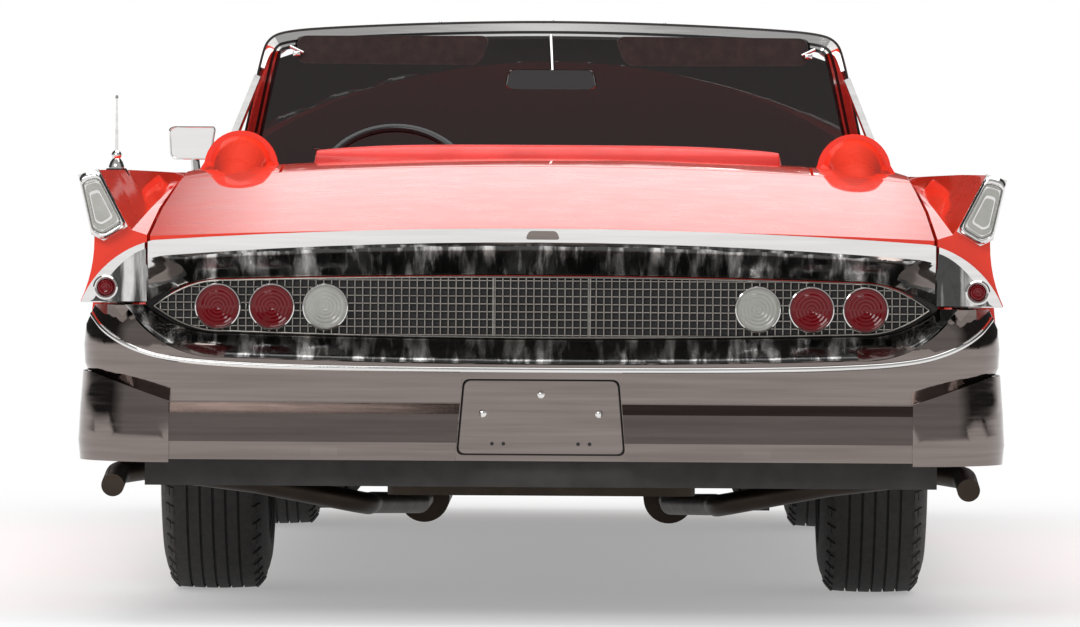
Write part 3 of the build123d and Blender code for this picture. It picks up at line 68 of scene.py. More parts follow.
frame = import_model()

# In metres: the tail's back plate and the rear face of the oval, the heights of the lamps and of the cove's tips, the
# axles, a distance beyond the car's sides and top from which lines are sent to its panels, and the distance within
# which vertices count as one.
TAIL_Y = -2.78925
OVAL_Y = -2.8695
LAMP_Z = 0.692
UPPER_TIP_Z = 0.700
LOWER_TIP_Z = 0.694
FRONT_AXLE_Y = 1.9235
REAR_AXLE_Y = -1.4035
AXLE_Z = 0.368
HALF_TRACK = 0.771
CLEAR_OF_CAR = 1.3
WELD = 1e-5
BACKWARD = (0, -1, 0)
SIDES = (("right", 1), ("left", -1))
CORNERS = (
    ("front_right", 1, FRONT_AXLE_Y),
    ("front_left", -1, FRONT_AXLE_Y),
    ("rear_right", 1, REAR_AXLE_Y),
    ("rear_left", -1, REAR_AXLE_Y),
)


def colour(name, value, text):
    """A colour shown with a picker."""
    return FloatVectorProperty(name=name, description=text, subtype="COLOR", size=3, min=0, max=1, default=value)


def length(name, value, text):
    """A length in metres."""
    return FloatProperty(name=name, description=text, unit="LENGTH", min=0, default=value)


def amount(name, value, text):
    """A number without a unit, zero or more."""
    return FloatProperty(name=name, description=text, min=0, default=value)


def count(name, value, text):
    """A whole number, one or more."""
    return IntProperty(name=name, description=text, min=1, default=value)


class ConvertibleFinish(PropertyGroup):
    """Colours of the car."""
    paint: colour("Paint", (0.86, 0.034, 0.008), "Enamel on the outer panels")
    paint_shade: colour("Paint shade", (0.74, 0.020, 0.006), "Darker clouding in the enamel")
    chrome: colour("Chrome", (0.80, 0.79, 0.78), "Plating of the band, frames and mouldings")
    # Darker than the chrome: painted reflection, the brown-grey that the bumpers show of the studio, put into the
    # plating's colour.
    bumper: colour("Bumper plating", (0.250, 0.212, 0.198), "Plating of the bumpers")
    mesh: colour("Mesh plating", (0.30, 0.28, 0.26), "Plating of the tail grille's bars")
    leather: colour("Leather", (0.66, 0.022, 0.014), "Seats and side trims")
    red_lens: colour("Red lens", (0.17, 0.0, 0.004), "Tail lamps")
    clear_lens: colour("Clear lens", (0.50, 0.50, 0.46), "Reversing lamps and headlamps")
    # Near black: painted shade, so the studio seen through the windshield looks dark.
    glass: colour("Glass", (0.030, 0.026, 0.026), "Windshield and vent panes")
    clear_glass: colour("Clear glass", (0.72, 0.75, 0.74), "Panes of the vent windows")
    rubber: colour("Rubber", (0.018, 0.016, 0.015), "Tyres and seals")
    whitewall: colour("White wall", (0.78, 0.77, 0.74), "Band on the tyre's outer side")
    # Near-black undercoat; on the tail panel and the rails beside the rear springs it also stands as painted shade.
    dark_metal: colour("Dark metal", (0.020, 0.018, 0.017), "Underbody")
    casting: colour("Casting", (0.06, 0.058, 0.055), "Axles, arms and engine")
    # Dark brown steel, darkened further as painted shade so the tank and exhaust read black under the car.
    steel: colour("Steel", (0.035, 0.026, 0.020), "Exhaust and tank")
    cloth: colour("Cloth", (0.016, 0.009, 0.008), "Sun visors")
    black: colour("Black plastic", (0.010, 0.010, 0.011), "Steering wheel")


class ConvertibleSizes(PropertyGroup):
    """Sizes of the forms that the scene adds."""
    mesh_pitch: length("Mesh pitch", 0.017, "Distance between the bars of the tail grille")
    mesh_bar: length("Mesh bar", 0.0036, "Width of a bar of the tail grille")
    mesh_depth: length("Mesh depth", 0.010, "Depth of a bar of the tail grille")
    lens_rings: count("Lens rings", 5, "Moulded rings in a lamp's lens")
    groove_width: length("Groove width", 0.006, "Width of a groove in the tread")
    groove_depth: length("Groove depth", 0.008, "Depth of a groove in the tread")
    groove_count: count("Grooves", 5, "Grooves round the tread")
    tyre_steps: count("Tyre steps", 96, "Steps round a tyre")
    pleat_pitch: length("Pleat pitch", 0.115, "Distance between sewn channels of a seat")
    pleat_depth: length("Pleat depth", 0.011, "Depth of a sewn channel")
    moulding: length("Moulding", 0.008, "Radius of the side mouldings")
    lip: length("Lip", 0.0065, "Radius of the bead along the mouth of the lower cove")
    screw_radius: length("Screw radius", 0.0085, "Radius of the screws in the plate recess")


class ConvertibleStage(PropertyGroup):
    """Camera and light."""
    camera_place: FloatVectorProperty(
        name="Camera place", description="Where the camera stands", subtype="XYZ", size=3, unit="LENGTH",
        default=(0.121, -19.138, 0.975))
    lens: amount("Lens", 249.4, "Focal length in millimetres on a sensor 36 mm wide")
    pitch: FloatProperty(name="Pitch", description="Tilt downwards", subtype="ANGLE", default=math.radians(1.0337))
    yaw: FloatProperty(name="Yaw", description="Turn to the left", subtype="ANGLE", default=math.radians(0.4365))
    roll: FloatProperty(name="Roll", description="Turn about the view", subtype="ANGLE", default=math.radians(0.35))
    floor: colour("Floor", (0.92, 0.92, 0.92), "Studio floor")
    ceiling: amount("Ceiling", 0.04, "Brightness of the studio above the backdrop, as metal shows it")
    soft_box: amount("Soft box", 1.2, "Brightness of the long soft box ahead of the car, as paint shows it")
    rear_wall: amount("Rear wall", 0.42, "Brightness of the studio behind the camera, as metal shows it")
    fill: amount("Fill", 0.80, "Light from all round")
    top_power: FloatProperty(name="Top lamp", description="Power", unit="POWER", min=0, default=260)
    tail_power: FloatProperty(name="Tail lamp", description="Power", unit="POWER", min=0, default=210)


def props():
    """The scene's finishes, sizes and stage."""
    scene = bpy.context.scene
    return scene.convertible_finish, scene.convertible_sizes, scene.convertible_stage


MATERIALS = {}


def shader(name):
    """A new node material with its own object coordinates, scaled in metres."""
    material = bpy.data.materials.new(name)
    material.use_nodes = True
    tree = material.node_tree
    tree.nodes.clear()
    output = tree.nodes.new("ShaderNodeOutputMaterial")
    surface = tree.nodes.new("ShaderNodeBsdfPrincipled")
    place = tree.nodes.new("ShaderNodeTexCoord")
    tree.links.new(surface.outputs["BSDF"], output.inputs["Surface"])
    MATERIALS[name] = material
    return tree, surface, place.outputs["Object"]


def noise(tree, place, scale, detail=3.0, stretch=(1, 1, 1)):
    """A cloudy pattern, stretched by a factor along each axis."""
    mapping = tree.nodes.new("ShaderNodeMapping")
    mapping.inputs["Scale"].default_value = stretch
    pattern = tree.nodes.new("ShaderNodeTexNoise")
    pattern.inputs["Scale"].default_value = scale
    pattern.inputs["Detail"].default_value = detail
    tree.links.new(place, mapping.inputs["Vector"])
    tree.links.new(mapping.outputs["Vector"], pattern.inputs["Vector"])
    return pattern.outputs["Fac"]


def ramp(tree, factor, low, high, start=0.35, end=0.65):
    """A pattern turned into a colour between two, or into a grey between two numbers."""
    band = tree.nodes.new("ShaderNodeValToRGB")
    for stop, place, value in zip(band.color_ramp.elements, (start, end), (low, high)):
        stop.position = place
        stop.color = (*value, 1) if hasattr(value, "__len__") else (value, value, value, 1)
    tree.links.new(factor, band.inputs["Fac"])
    return band.outputs["Color"]


def combined(tree, operation, first, second=None):
    """The outcome of a calculation with one or two values, each a socket of the tree or a plain number."""
    node = tree.nodes.new("ShaderNodeMath")
    node.operation = operation
    for socket, value in zip(node.inputs, (first, second)):
        if isinstance(value, bpy.types.NodeSocket):
            tree.links.new(value, socket)
        elif value is not None:
            socket.default_value = value
    return node.outputs[0]


def bump(tree, surface, height, strength, distance):
    """Fine relief in a material from a pattern."""
    node = tree.nodes.new("ShaderNodeBump")
    node.inputs["Strength"].default_value = strength
    node.inputs["Distance"].default_value = distance
    tree.links.new(height, node.inputs["Height"])
    tree.links.new(node.outputs["Normal"], surface.inputs["Normal"])


def enamel(name, bright, shade):
    """Glossy enamel with slight clouding under a clear coat that is duller in places."""
    tree, surface, place = shader(name)
    tree.links.new(ramp(tree, noise(tree, place, 1.6), shade, bright, 0.15, 0.42), surface.inputs["Base Color"])
    tree.links.new(ramp(tree, noise(tree, place, 9.0), 0.26, 0.34), surface.inputs["Roughness"])
    surface.inputs["Specular IOR Level"].default_value = 0.15
    surface.inputs["Coat Weight"].default_value = 0.85
    surface.inputs["Coat IOR"].default_value = 1.42
    tree.links.new(ramp(tree, noise(tree, place, 3.0), 0.015, 0.035), surface.inputs["Coat Roughness"])


def plating(name, tint, smear):
    """Chrome plate with faint lengthwise smears from polishing."""
    tree, surface, place = shader(name)
    dull = tuple(c * (1 - smear) for c in tint)
    streaks = noise(tree, place, 5.0, 5.0, (0.5, 0.5, 16))
    tree.links.new(ramp(tree, streaks, dull, tint), surface.inputs["Base Color"])
    tree.links.new(ramp(tree, noise(tree, place, 22.0, 4.0, (0.4, 0.4, 5)), 0.035, 0.035 + smear / 2),
                   surface.inputs["Roughness"])
    surface.inputs["Metallic"].default_value = 1.0


def leather(name, tint):
    """Grained leather: small cells with creases between them."""
    tree, surface, place = shader(name)
    cells = tree.nodes.new("ShaderNodeTexVoronoi")
    cells.inputs["Scale"].default_value = 260.0
    tree.links.new(place, cells.inputs["Vector"])
    worn = tuple(min(1, c * 1.25 + 0.01) for c in tint)
    tree.links.new(ramp(tree, noise(tree, place, 7.0, 6.0), tint, worn), surface.inputs["Base Color"])
    tree.links.new(ramp(tree, noise(tree, place, 30.0), 0.36, 0.52), surface.inputs["Roughness"])
    surface.inputs["Coat Weight"].default_value = 0.15
    bump(tree, surface, cells.outputs["Distance"], 0.35, 0.0006)


def moulded(name, tint, rough, spread, scale, depth, metal=0.0):
    """A plain material with mottling and fine grain: rubber, casting, undercoat, plastic, steel."""
    tree, surface, place = shader(name)
    light = tuple(min(1, c * (1 + spread)) for c in tint)
    tree.links.new(ramp(tree, noise(tree, place, scale / 8, 6.0), tint, light), surface.inputs["Base Color"])
    tree.links.new(ramp(tree, noise(tree, place, scale / 3, 4.0), rough * 0.85, rough), surface.inputs["Roughness"])
    surface.inputs["Metallic"].default_value = metal
    bump(tree, surface, noise(tree, place, scale, 4.0), 0.3, depth)


def woven(name, tint):
    """Dark cloth with crossed threads."""
    tree, surface, place = shader(name)
    threads = []
    for axis in ("X", "Z"):
        thread = tree.nodes.new("ShaderNodeTexWave")
        thread.bands_direction = axis
        thread.inputs["Scale"].default_value = 160.0
        tree.links.new(place, thread.inputs["Vector"])
        threads.append(thread.outputs["Fac"])
    light = tuple(c * 2 for c in tint)
    tree.links.new(ramp(tree, noise(tree, place, 40.0), tint, light), surface.inputs["Base Color"])
    surface.inputs["Roughness"].default_value = 0.85
    surface.inputs["Sheen Weight"].default_value = 0.2
    bump(tree, surface, combined(tree, "ADD", *threads), 0.3, 0.0004)


def lens(name, tint, through):
    """Moulded lens plastic over a dark lamp body, with a little haze."""
    tree, surface, place = shader(name)
    deep = tuple(c * 0.85 for c in tint)
    tree.links.new(ramp(tree, noise(tree, place, 14.0, 2.0), deep, tint), surface.inputs["Base Color"])
    tree.links.new(ramp(tree, noise(tree, place, 60.0), 0.05, 0.09), surface.inputs["Roughness"])
    surface.inputs["Transmission Weight"].default_value = through
    surface.inputs["IOR"].default_value = 1.49
    surface.inputs["Specular IOR Level"].default_value = 0.3
    surface.inputs["Coat Weight"].default_value = 0.25


def painted_cove_reflection(name, tint):
    """Pressed chrome in the cove, its reflections painted in: nearly black, with upright pale streaks that waver."""
    tree, surface, place = shader(name)
    dark = tuple(c * 0.09 for c in tint)
    streaks = noise(tree, place, 9.0, 6.0, (4.0, 1.0, 0.35))
    tree.links.new(ramp(tree, streaks, dark, tint, 0.50, 0.68), surface.inputs["Base Color"])
    tree.links.new(ramp(tree, streaks, 0.10, 0.22), surface.inputs["Roughness"])
    surface.inputs["Metallic"].default_value = 1.0
    bump(tree, surface, noise(tree, place, 30.0, 3.0, (2.0, 1.0, 0.5)), 0.25, 0.004)


def pane(name, tint):
    """Safety glass in a given tint, with faint dust."""
    tree, surface, place = shader(name)
    surface.inputs["Base Color"].default_value = (*tint, 1)
    tree.links.new(ramp(tree, noise(tree, place, 4.0, 6.0), 0.0, 0.05, 0.5, 0.8), surface.inputs["Roughness"])
    surface.inputs["Transmission Weight"].default_value = 1.0
    surface.inputs["IOR"].default_value = 1.45


NODE_FINISH = {
    "paint": ("cowl", "hood", "trunk_lid", "top_well_cover", "fender_right", "fender_left", "quarter_right",
              "quarter_left", "door_right", "door_left", "nose_panel", "dashboard"),
    "chrome": ("trunk_band", "tail_trim", "front_grille", "headlamp_bezels", "wheel_front_right",
               "wheel_front_left", "wheel_rear_right", "wheel_rear_left"),
    # The bumpers' plating is darker than the chrome as painted reflection.
    "bumper": ("bumper_rear", "bumper_front"),
    # The tail panel is in this near-black as painted shade, so the tail reads black beneath the bumper and behind the
    # grille.
    "dark_metal": ("floor_pan", "firewall", "seat_bulkhead", "wheel_houses", "tail_panel"),
    "casting": ("engine_block", "front_suspension", "rear_axle", "knuckle_right", "knuckle_left"),
    # Tank and exhaust in steel darkened as painted shade.
    "steel": ("exhaust", "fuel_tank"),
    "leather": ("side_trims",),
    # The windshield's near-black glass holds painted shade.
    "glass": ("windshield_glass",),
    "black": ("steering_wheel", "steering_column"),
}


def welded(node):
    """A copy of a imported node's mesh in which vertices in one place are one."""
    bm = bmesh.new()
    bm.from_mesh(frame["nodes"][node].data)
    bmesh.ops.remove_doubles(bm, verts=bm.verts[:], dist=WELD)
    bm.verts.index_update()
    return bm


def crease(bm, degrees):
    """Smooth shading with sharp edges where faces meet at more than an angle."""
    limit = math.radians(degrees)
    for face in bm.faces:
        face.smooth = True
    for edge in bm.edges:
        edge.smooth = len(edge.link_faces) == 2 and edge.calc_face_angle() < limit


def piece(name, bm, body, finish, stands_for=(), degrees=35, outward=True):
    """Turns a bmesh into a piece that rides on a body."""
    if outward:
        bmesh.ops.recalc_face_normals(bm, faces=bm.faces[:])
    crease(bm, degrees)
    mesh = bpy.data.meshes.new(name)
    bm.to_mesh(mesh)
    bm.free()
    made = bpy.data.objects.new(name, mesh)
    bpy.context.scene.collection.objects.link(made)
    mesh.materials.append(MATERIALS[finish])
    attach(made, body)
    if stands_for:
        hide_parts(*stands_for)
    return made


def bar(bm, low, high, round_by=0.0, segments=2):
    """A box between two opposite corners with rounded edges."""
    low, high = (Vector(pick(a, b) for a, b in zip(low, high)) for pick in (min, max))
    made = bmesh.ops.create_cube(bm, size=1.0)["verts"]
    size = high - low
    bmesh.ops.scale(bm, vec=size, verts=made)
    bmesh.ops.translate(bm, vec=(low + high) / 2, verts=made)
    if round_by:
        edges = list({edge for vert in made for edge in vert.link_edges})
        bmesh.ops.bevel(bm, geom=edges, offset=round_by, offset_type="OFFSET", segments=segments, profile=0.5,
                        affect="EDGES", material=-1)


def turned(bm, profile, centre, axis, steps=48):
    """A profile of (distance along the axis, radius) spun full circle about an axis through a centre."""
    axis = Vector(axis).normalized()
    across = axis.orthogonal().normalized()
    centre = Vector(centre)
    verts = [bm.verts.new(centre + axis * along + across * radius) for along, radius in profile]
    edges = [bm.edges.new(pair) for pair in zip(verts, verts[1:])]
    bmesh.ops.spin(bm, geom=verts + edges, cent=centre, axis=axis, angle=2 * math.pi, steps=steps, use_merge=True,
                   use_duplicate=False)
    bmesh.ops.remove_doubles(bm, verts=bm.verts[:], dist=WELD)


def slab(bm, outline, back, front):
    """A flat outline of (x, z) points, as thick as from one y to another."""
    face = bm.faces.new([bm.verts.new((x, back, z)) for x, z in outline])
    moved = bmesh.ops.extrude_face_region(bm, geom=[face])["geom"]
    verts = [item for item in moved if isinstance(item, bmesh.types.BMVert)]
    bmesh.ops.translate(bm, vec=(0, front - back, 0), verts=verts)


def rounded(corners, radius, steps=6):
    """A closed outline of (x, z) corners with each corner rounded off."""
    points = []
    for i, corner in enumerate(corners):
        middle = Vector(corner)
        before = Vector(corners[i - 1]) - middle
        after = Vector(corners[(i + 1) % len(corners)]) - middle
        reach = min(radius, before.length * 0.45, after.length * 0.45)
        start, end = middle + before.normalized() * reach, middle + after.normalized() * reach
        for k in range(steps + 1):
            t = k / steps
            points.append(tuple(start * (1 - t) ** 2 + middle * 2 * t * (1 - t) + end * t ** 2))
    return points


def shrunk(outline, share):
    """An outline made smaller about its middle."""
    x0 = sum(x for x, z in outline) / len(outline)
    z0 = sum(z for x, z in outline) / len(outline)
    return [(x0 + (x - x0) * share, z0 + (z - z0) * share) for x, z in outline]


def ring(bm, outer, inner, base_y, proud, steps=6):
    """A closed moulding between two outlines, rounded towards the side that proud points to."""
    loops = []
    for i in range(steps + 1):
        t = i / steps
        y = base_y + proud * math.sin(math.pi * t)
        loops.append([bm.verts.new((a[0] + (b[0] - a[0]) * t, y, a[1] + (b[1] - a[1]) * t))
                      for a, b in zip(outer, inner)])
    for near, far in zip(loops, loops[1:] + loops[:1]):
        for i in range(len(near)):
            k = (i + 1) % len(near)
            bm.faces.new((near[i], near[k], far[k], far[i]))


def rod(bm, start, end, start_radius, end_radius, steps=20):
    """A round bar or cone between two points."""
    run = Vector(end) - Vector(start)
    turned(bm, [(0.0, 0.0), (0.0, start_radius), (run.length, end_radius), (run.length, 0.0)], start, run, steps)


SURFACES = {}


def surface_point(node, origin, direction):
    """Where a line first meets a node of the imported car."""
    if node not in SURFACES:
        source = frame["nodes"][node]
        corners = [source.matrix_world @ vert.co for vert in source.data.vertices]
        SURFACES[node] = BVHTree.FromPolygons(corners, [tuple(face.vertices) for face in source.data.polygons])
    place = SURFACES[node].ray_cast(Vector(origin), Vector(direction))[0]
    if place is None:
        raise RuntimeError(f"{node} isn't met from {origin}")
    return place


def strip(name, points, radius, body, finish):
    """A round moulding along a line of points."""
    curve = bpy.data.curves.new(name, "CURVE")
    curve.dimensions = "3D"
    curve.bevel_depth = radius
    curve.bevel_resolution = 3
    curve.resolution_u = 6
    curve.use_fill_caps = True
    spline = curve.splines.new("NURBS")
    spline.points.add(len(points) - 1)
    for target, point in zip(spline.points, points):
        target.co = (*point, 1)
    spline.order_u = 3
    spline.use_endpoint_u = True
    carrier = bpy.data.objects.new(name + "_line", curve)
    bpy.context.scene.collection.objects.link(carrier)
    graph = bpy.context.evaluated_depsgraph_get()
    mesh = bpy.data.meshes.new_from_object(carrier.evaluated_get(graph))
    bm = bmesh.new()
    bm.from_mesh(mesh)
    bpy.data.objects.remove(carrier)
    bpy.data.meshes.remove(mesh)
    piece(name, bm, body, finish, degrees=50)


PANEL_CREASE = 28


class SmoothPanels(Operator):
    """Show the panels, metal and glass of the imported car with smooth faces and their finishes"""
    bl_idname = "convertible.panels"
    bl_label = "Panels and metal"

    def execute(self, context):
        for finish, nodes in NODE_FINISH.items():
            for node in nodes:
                body = frame["nodes"][node]["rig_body"]
                made = piece(f"{node}_shell", welded(node), body, finish, (node,), PANEL_CREASE, outward=False)
                weigh = made.modifiers.new("even_shading", "WEIGHTED_NORMAL")
                weigh.keep_sharp = True
        return {"FINISHED"}


class VentWindows(Operator):
    """Show the vent windows of the doors with a plated frame round a clear pane"""
    bl_idname = "convertible.vent_windows"
    bl_label = "Vent windows"

    def execute(self, context):
        for side, _ in SIDES:
            node = f"vent_window_{side}"
            whole = welded(node)
            parts = self.islands(whole)
            reaches = [max(abs(vert.co.x) for vert in whole.verts if vert.index in part) for part in parts]
            whole.free()
            for part, reach in zip(parts, reaches):
                framed = reach == max(reaches)
                bm = welded(node)
                bmesh.ops.delete(bm, geom=[vert for vert in bm.verts if vert.index not in part], context="VERTS")
                piece(f"{node}_{'frame' if framed else 'pane'}", bm, f"door_{side}",
                      "chrome" if framed else "clear_glass", (node,) if framed else (), PANEL_CREASE, outward=False)
        return {"FINISHED"}

    def islands(self, bm):
        """The vertex numbers of each part of a mesh that hangs together."""
        left, parts = set(bm.verts), []
        while left:
            island, waiting = set(), [min(left, key=lambda vert: vert.index)]
            while waiting:
                vert = waiting.pop()
                if vert in left:
                    left.discard(vert)
                    island.add(vert.index)
                    waiting += [edge.other_vert(vert) for edge in vert.link_edges]
            parts.append(island)
        return parts


# The grille's outline as (x, upper z, lower z), from the middle to its tip.
LENS_POINTS = ((0.0, 0.758, 0.629), (0.690, 0.747, 0.640), (0.788, 0.727, 0.658), (0.845, 0.692, 0.692))


def lens_heights(x):
    """Upper and lower edge of the tail grille at a distance from the middle."""
    x = min(abs(x), LENS_POINTS[-1][0])
    (_, up0, low0), (x1, up1, low1), (x2, up2, low2), (x3, up3, low3) = LENS_POINTS
    if x < x1:
        share = (x / x1) ** 2
        return up0 + (up1 - up0) * share, low0 + (low1 - low0) * share
    a = (x - x2) * (x - x3) / ((x1 - x2) * (x1 - x3))
    b = (x - x1) * (x - x3) / ((x2 - x1) * (x2 - x3))
    c = (x - x1) * (x - x2) / ((x3 - x1) * (x3 - x2))
    return a * up1 + b * up2 + c * up3, a * low1 + b * low2 + c * low3


def lens_reach(z):
    """Half length of a level line inside the grille."""
    low, high = 0.0, LENS_POINTS[-1][0]
    for _ in range(20):
        middle = (low + high) / 2
        upper, lower = lens_heights(middle)
        low, high = (middle, high) if lower < z < upper else (low, middle)
    return low


def lens_outline(grow):
    """The grille's outline as (x, z) points, moved outwards by a margin."""
    steps, tip = 32, LENS_POINTS[-1][0]
    xs = [i * tip / steps for i in range(steps)]
    top = [(x, lens_heights(x)[0] + grow) for x in xs]
    foot = [(x, lens_heights(x)[1] - grow) for x in reversed(xs)]
    right = top + [(tip + grow, LAMP_Z + grow / 2), (tip + grow, LAMP_Z - grow / 2)] + foot
    return right + [(-x, z) for x, z in reversed(right) if x > 0]


class TailGrille(Operator):
    """Fine mesh across the tail on a near-black plate of painted shade, with the red line round it"""
    bl_idname = "convertible.tail_grille"
    bl_label = "Tail grille"

    def execute(self, context):
        sizes = props()[1]
        bm = bmesh.new()
        front = TAIL_Y - 0.0142
        back = front + sizes.mesh_depth
        pitch, half = sizes.mesh_pitch, sizes.mesh_bar / 2
        columns, rows_below = 49, 4
        for i in range(-columns, columns + 1):
            upper, lower = lens_heights(i * pitch)
            if upper - lower > half:
                bar(bm, (i * pitch - half, front, lower), (i * pitch + half, back, upper), half / 2, 1)
        for i in range(-rows_below, rows_below):
            z = LAMP_Z + (i + 0.5) * pitch
            reach = lens_reach(z)
            bar(bm, (-reach, front + half / 2, z - half), (reach, back, z + half), half / 2, 1)
        for side in (-1, 1):
            bar(bm, (side * 0.106 - 0.0015, front - 0.0004, 0.631), (side * 0.106 + 0.0015, back, 0.757))
        piece("tail_mesh", bm, "root", "mesh", ("tail_grille",))
        bm = bmesh.new()
        # A near-black plate behind the mesh: painted shade inside the grille.
        slab(bm, lens_outline(0.004), TAIL_Y, TAIL_Y - 0.0045)
        piece("mesh_shade_plate", bm, "root", "shade")
        whole = lens_outline(0.0015)
        ring_line = [(x, TAIL_Y - 0.0130, z) for x, z in whole + whole[:1]]
        strip("mesh_rim", ring_line, 0.0026, "root", "mesh")
        line_step, line_half = 0.027, 30
        edge = [(i * line_step, lens_heights(i * line_step)[0]) for i in range(-line_half, line_half + 1)]
        strip("red_line", [(x, TAIL_Y - 0.0085, z + 0.0030) for x, z in edge], 0.0021, "root", "paint")
        return {"FINISHED"}


def lamp_profile(radius, depth, proud, rings):
    """A lens from its rim to its middle, with moulded rings, as (distance out, radius) pairs."""
    points = [(0.0, 0.0), (0.0, radius), (depth, radius)]
    for i in range(rings):
        for share, lift in ((0.0, 0.0), (0.5, 0.0022)):
            at = 1 - (i + share) / (rings + 0.4)
            points.append((depth + proud * (1 - at * at) + lift, radius * at * 0.985))
    points += [(depth + proud + 0.0012, radius * 0.09), (depth + proud + 0.0025, radius * 0.07),
               (depth + proud + 0.0025, 0.0)]
    return points


class TailLamps(Operator):
    """Ringed lenses with their bezels in the grille, and the markers at the ends of the oval"""
    bl_idname = "convertible.tail_lamps"
    bl_label = "Tail lamps"

    def execute(self, context):
        sizes = props()[1]
        radius = 0.0447
        red, clear, rim, well = (bmesh.new() for _ in range(4))
        for side in (-1, 1):
            for x, lens_mesh in ((0.472, clear), (0.589, red), (0.707, red)):
                centre = (side * x, TAIL_Y, LAMP_Z)
                turned(lens_mesh, lamp_profile(radius, 0.029, 0.0035, sizes.lens_rings), centre, BACKWARD)
                turned(rim, [(0.0, radius), (0.0, 0.051), (0.030, 0.051), (0.0335, 0.0495), (0.0345, 0.0475),
                             (0.0325, 0.0455), (0.029, radius)], centre, BACKWARD, 56)
            marker = (side * 0.948, -2.870, 0.733)
            turned(well, [(0.0, 0.0), (0.0, 0.026), (0.014, 0.027), (0.017, 0.0235), (0.014, 0.0195), (0.0, 0.0195)],
                   marker, BACKWARD, 40)
            turned(red, lamp_profile(0.019, 0.008, 0.011, 3), marker, BACKWARD, 32)
        piece("red_lenses", red, "root", "red_lens", ("tail_lamps",), 16)
        piece("clear_lenses", clear, "root", "clear_lens", ("reversing_lamps",), 16)
        piece("lamp_bezels", rim, "root", "chrome")
        piece("marker_rims", well, "root", "chrome")
        return {"FINISHED"}


# The outer side of a tyre above and below its widest place, as (distance from its middle, radius).
TYRE_SIDE = ((0.089, 0.3645), (0.098, 0.356), (0.1085, 0.342), (0.118, 0.320), (0.1235, 0.298), (0.125, 0.2755))
TYRE_FOOT = ((0.1225, 0.252), (0.121, 0.2505), (0.118, 0.236), (0.1165, 0.2355), (0.109, 0.214), (0.1035, 0.2065),
             (0.0955, 0.1958), (0.0868, 0.1953), (0.0868, 0.1833))


def arch_half(row, tip_z):
    """Half of an oval from its left tip over the middle to its right tip, as (x, z) points."""
    tip_x, shoulder_x, shoulder_z, knuckle_x, knuckle_z, middle_z = row
    steps = 80
    points = []
    for i in range(steps + 1):
        x = tip_x * i / steps
        if x < shoulder_x:
            z = middle_z + (shoulder_z - middle_z) * (x / shoulder_x) ** 2
        else:
            a = (x - knuckle_x) * (x - tip_x) / ((shoulder_x - knuckle_x) * (shoulder_x - tip_x))
            b = (x - shoulder_x) * (x - tip_x) / ((knuckle_x - shoulder_x) * (knuckle_x - tip_x))
            c = (x - shoulder_x) * (x - knuckle_x) / ((tip_x - shoulder_x) * (tip_x - knuckle_x))
            z = a * shoulder_z + b * knuckle_z + c * tip_z
        points.append((x, z))
    return [(-x, z) for x, z in reversed(points[1:])] + points


# Edges of the cove and of the oval as (tip x, shoulder x, shoulder z, knuckle x, knuckle z, middle z).
UPPER_MOUTH = (0.958, 0.820, 0.803, 0.912, 0.762, 0.836)
UPPER_BACK = (0.866, 0.690, 0.754, 0.795, 0.734, 0.765)
LOWER_MOUTH = (0.905, 0.690, 0.582, 0.815, 0.610, 0.570)
LOWER_BACK = (0.866, 0.690, 0.633, 0.795, 0.651, 0.622)
UPPER_RIM = (1.003, 0.845, 0.836, 0.950, 0.779, 0.866)
# The bead along the bumper's mouth as (x, z), from the middle to its right end.
LIP = ((0.0, 0.5585), (0.20, 0.5588), (0.40, 0.5600), (0.58, 0.5635), (0.69, 0.5685), (0.76, 0.5735), (0.82, 0.5815),
       (0.862, 0.5920), (0.905, 0.6090), (0.940, 0.6290), (0.966, 0.6500), (0.984, 0.6720))


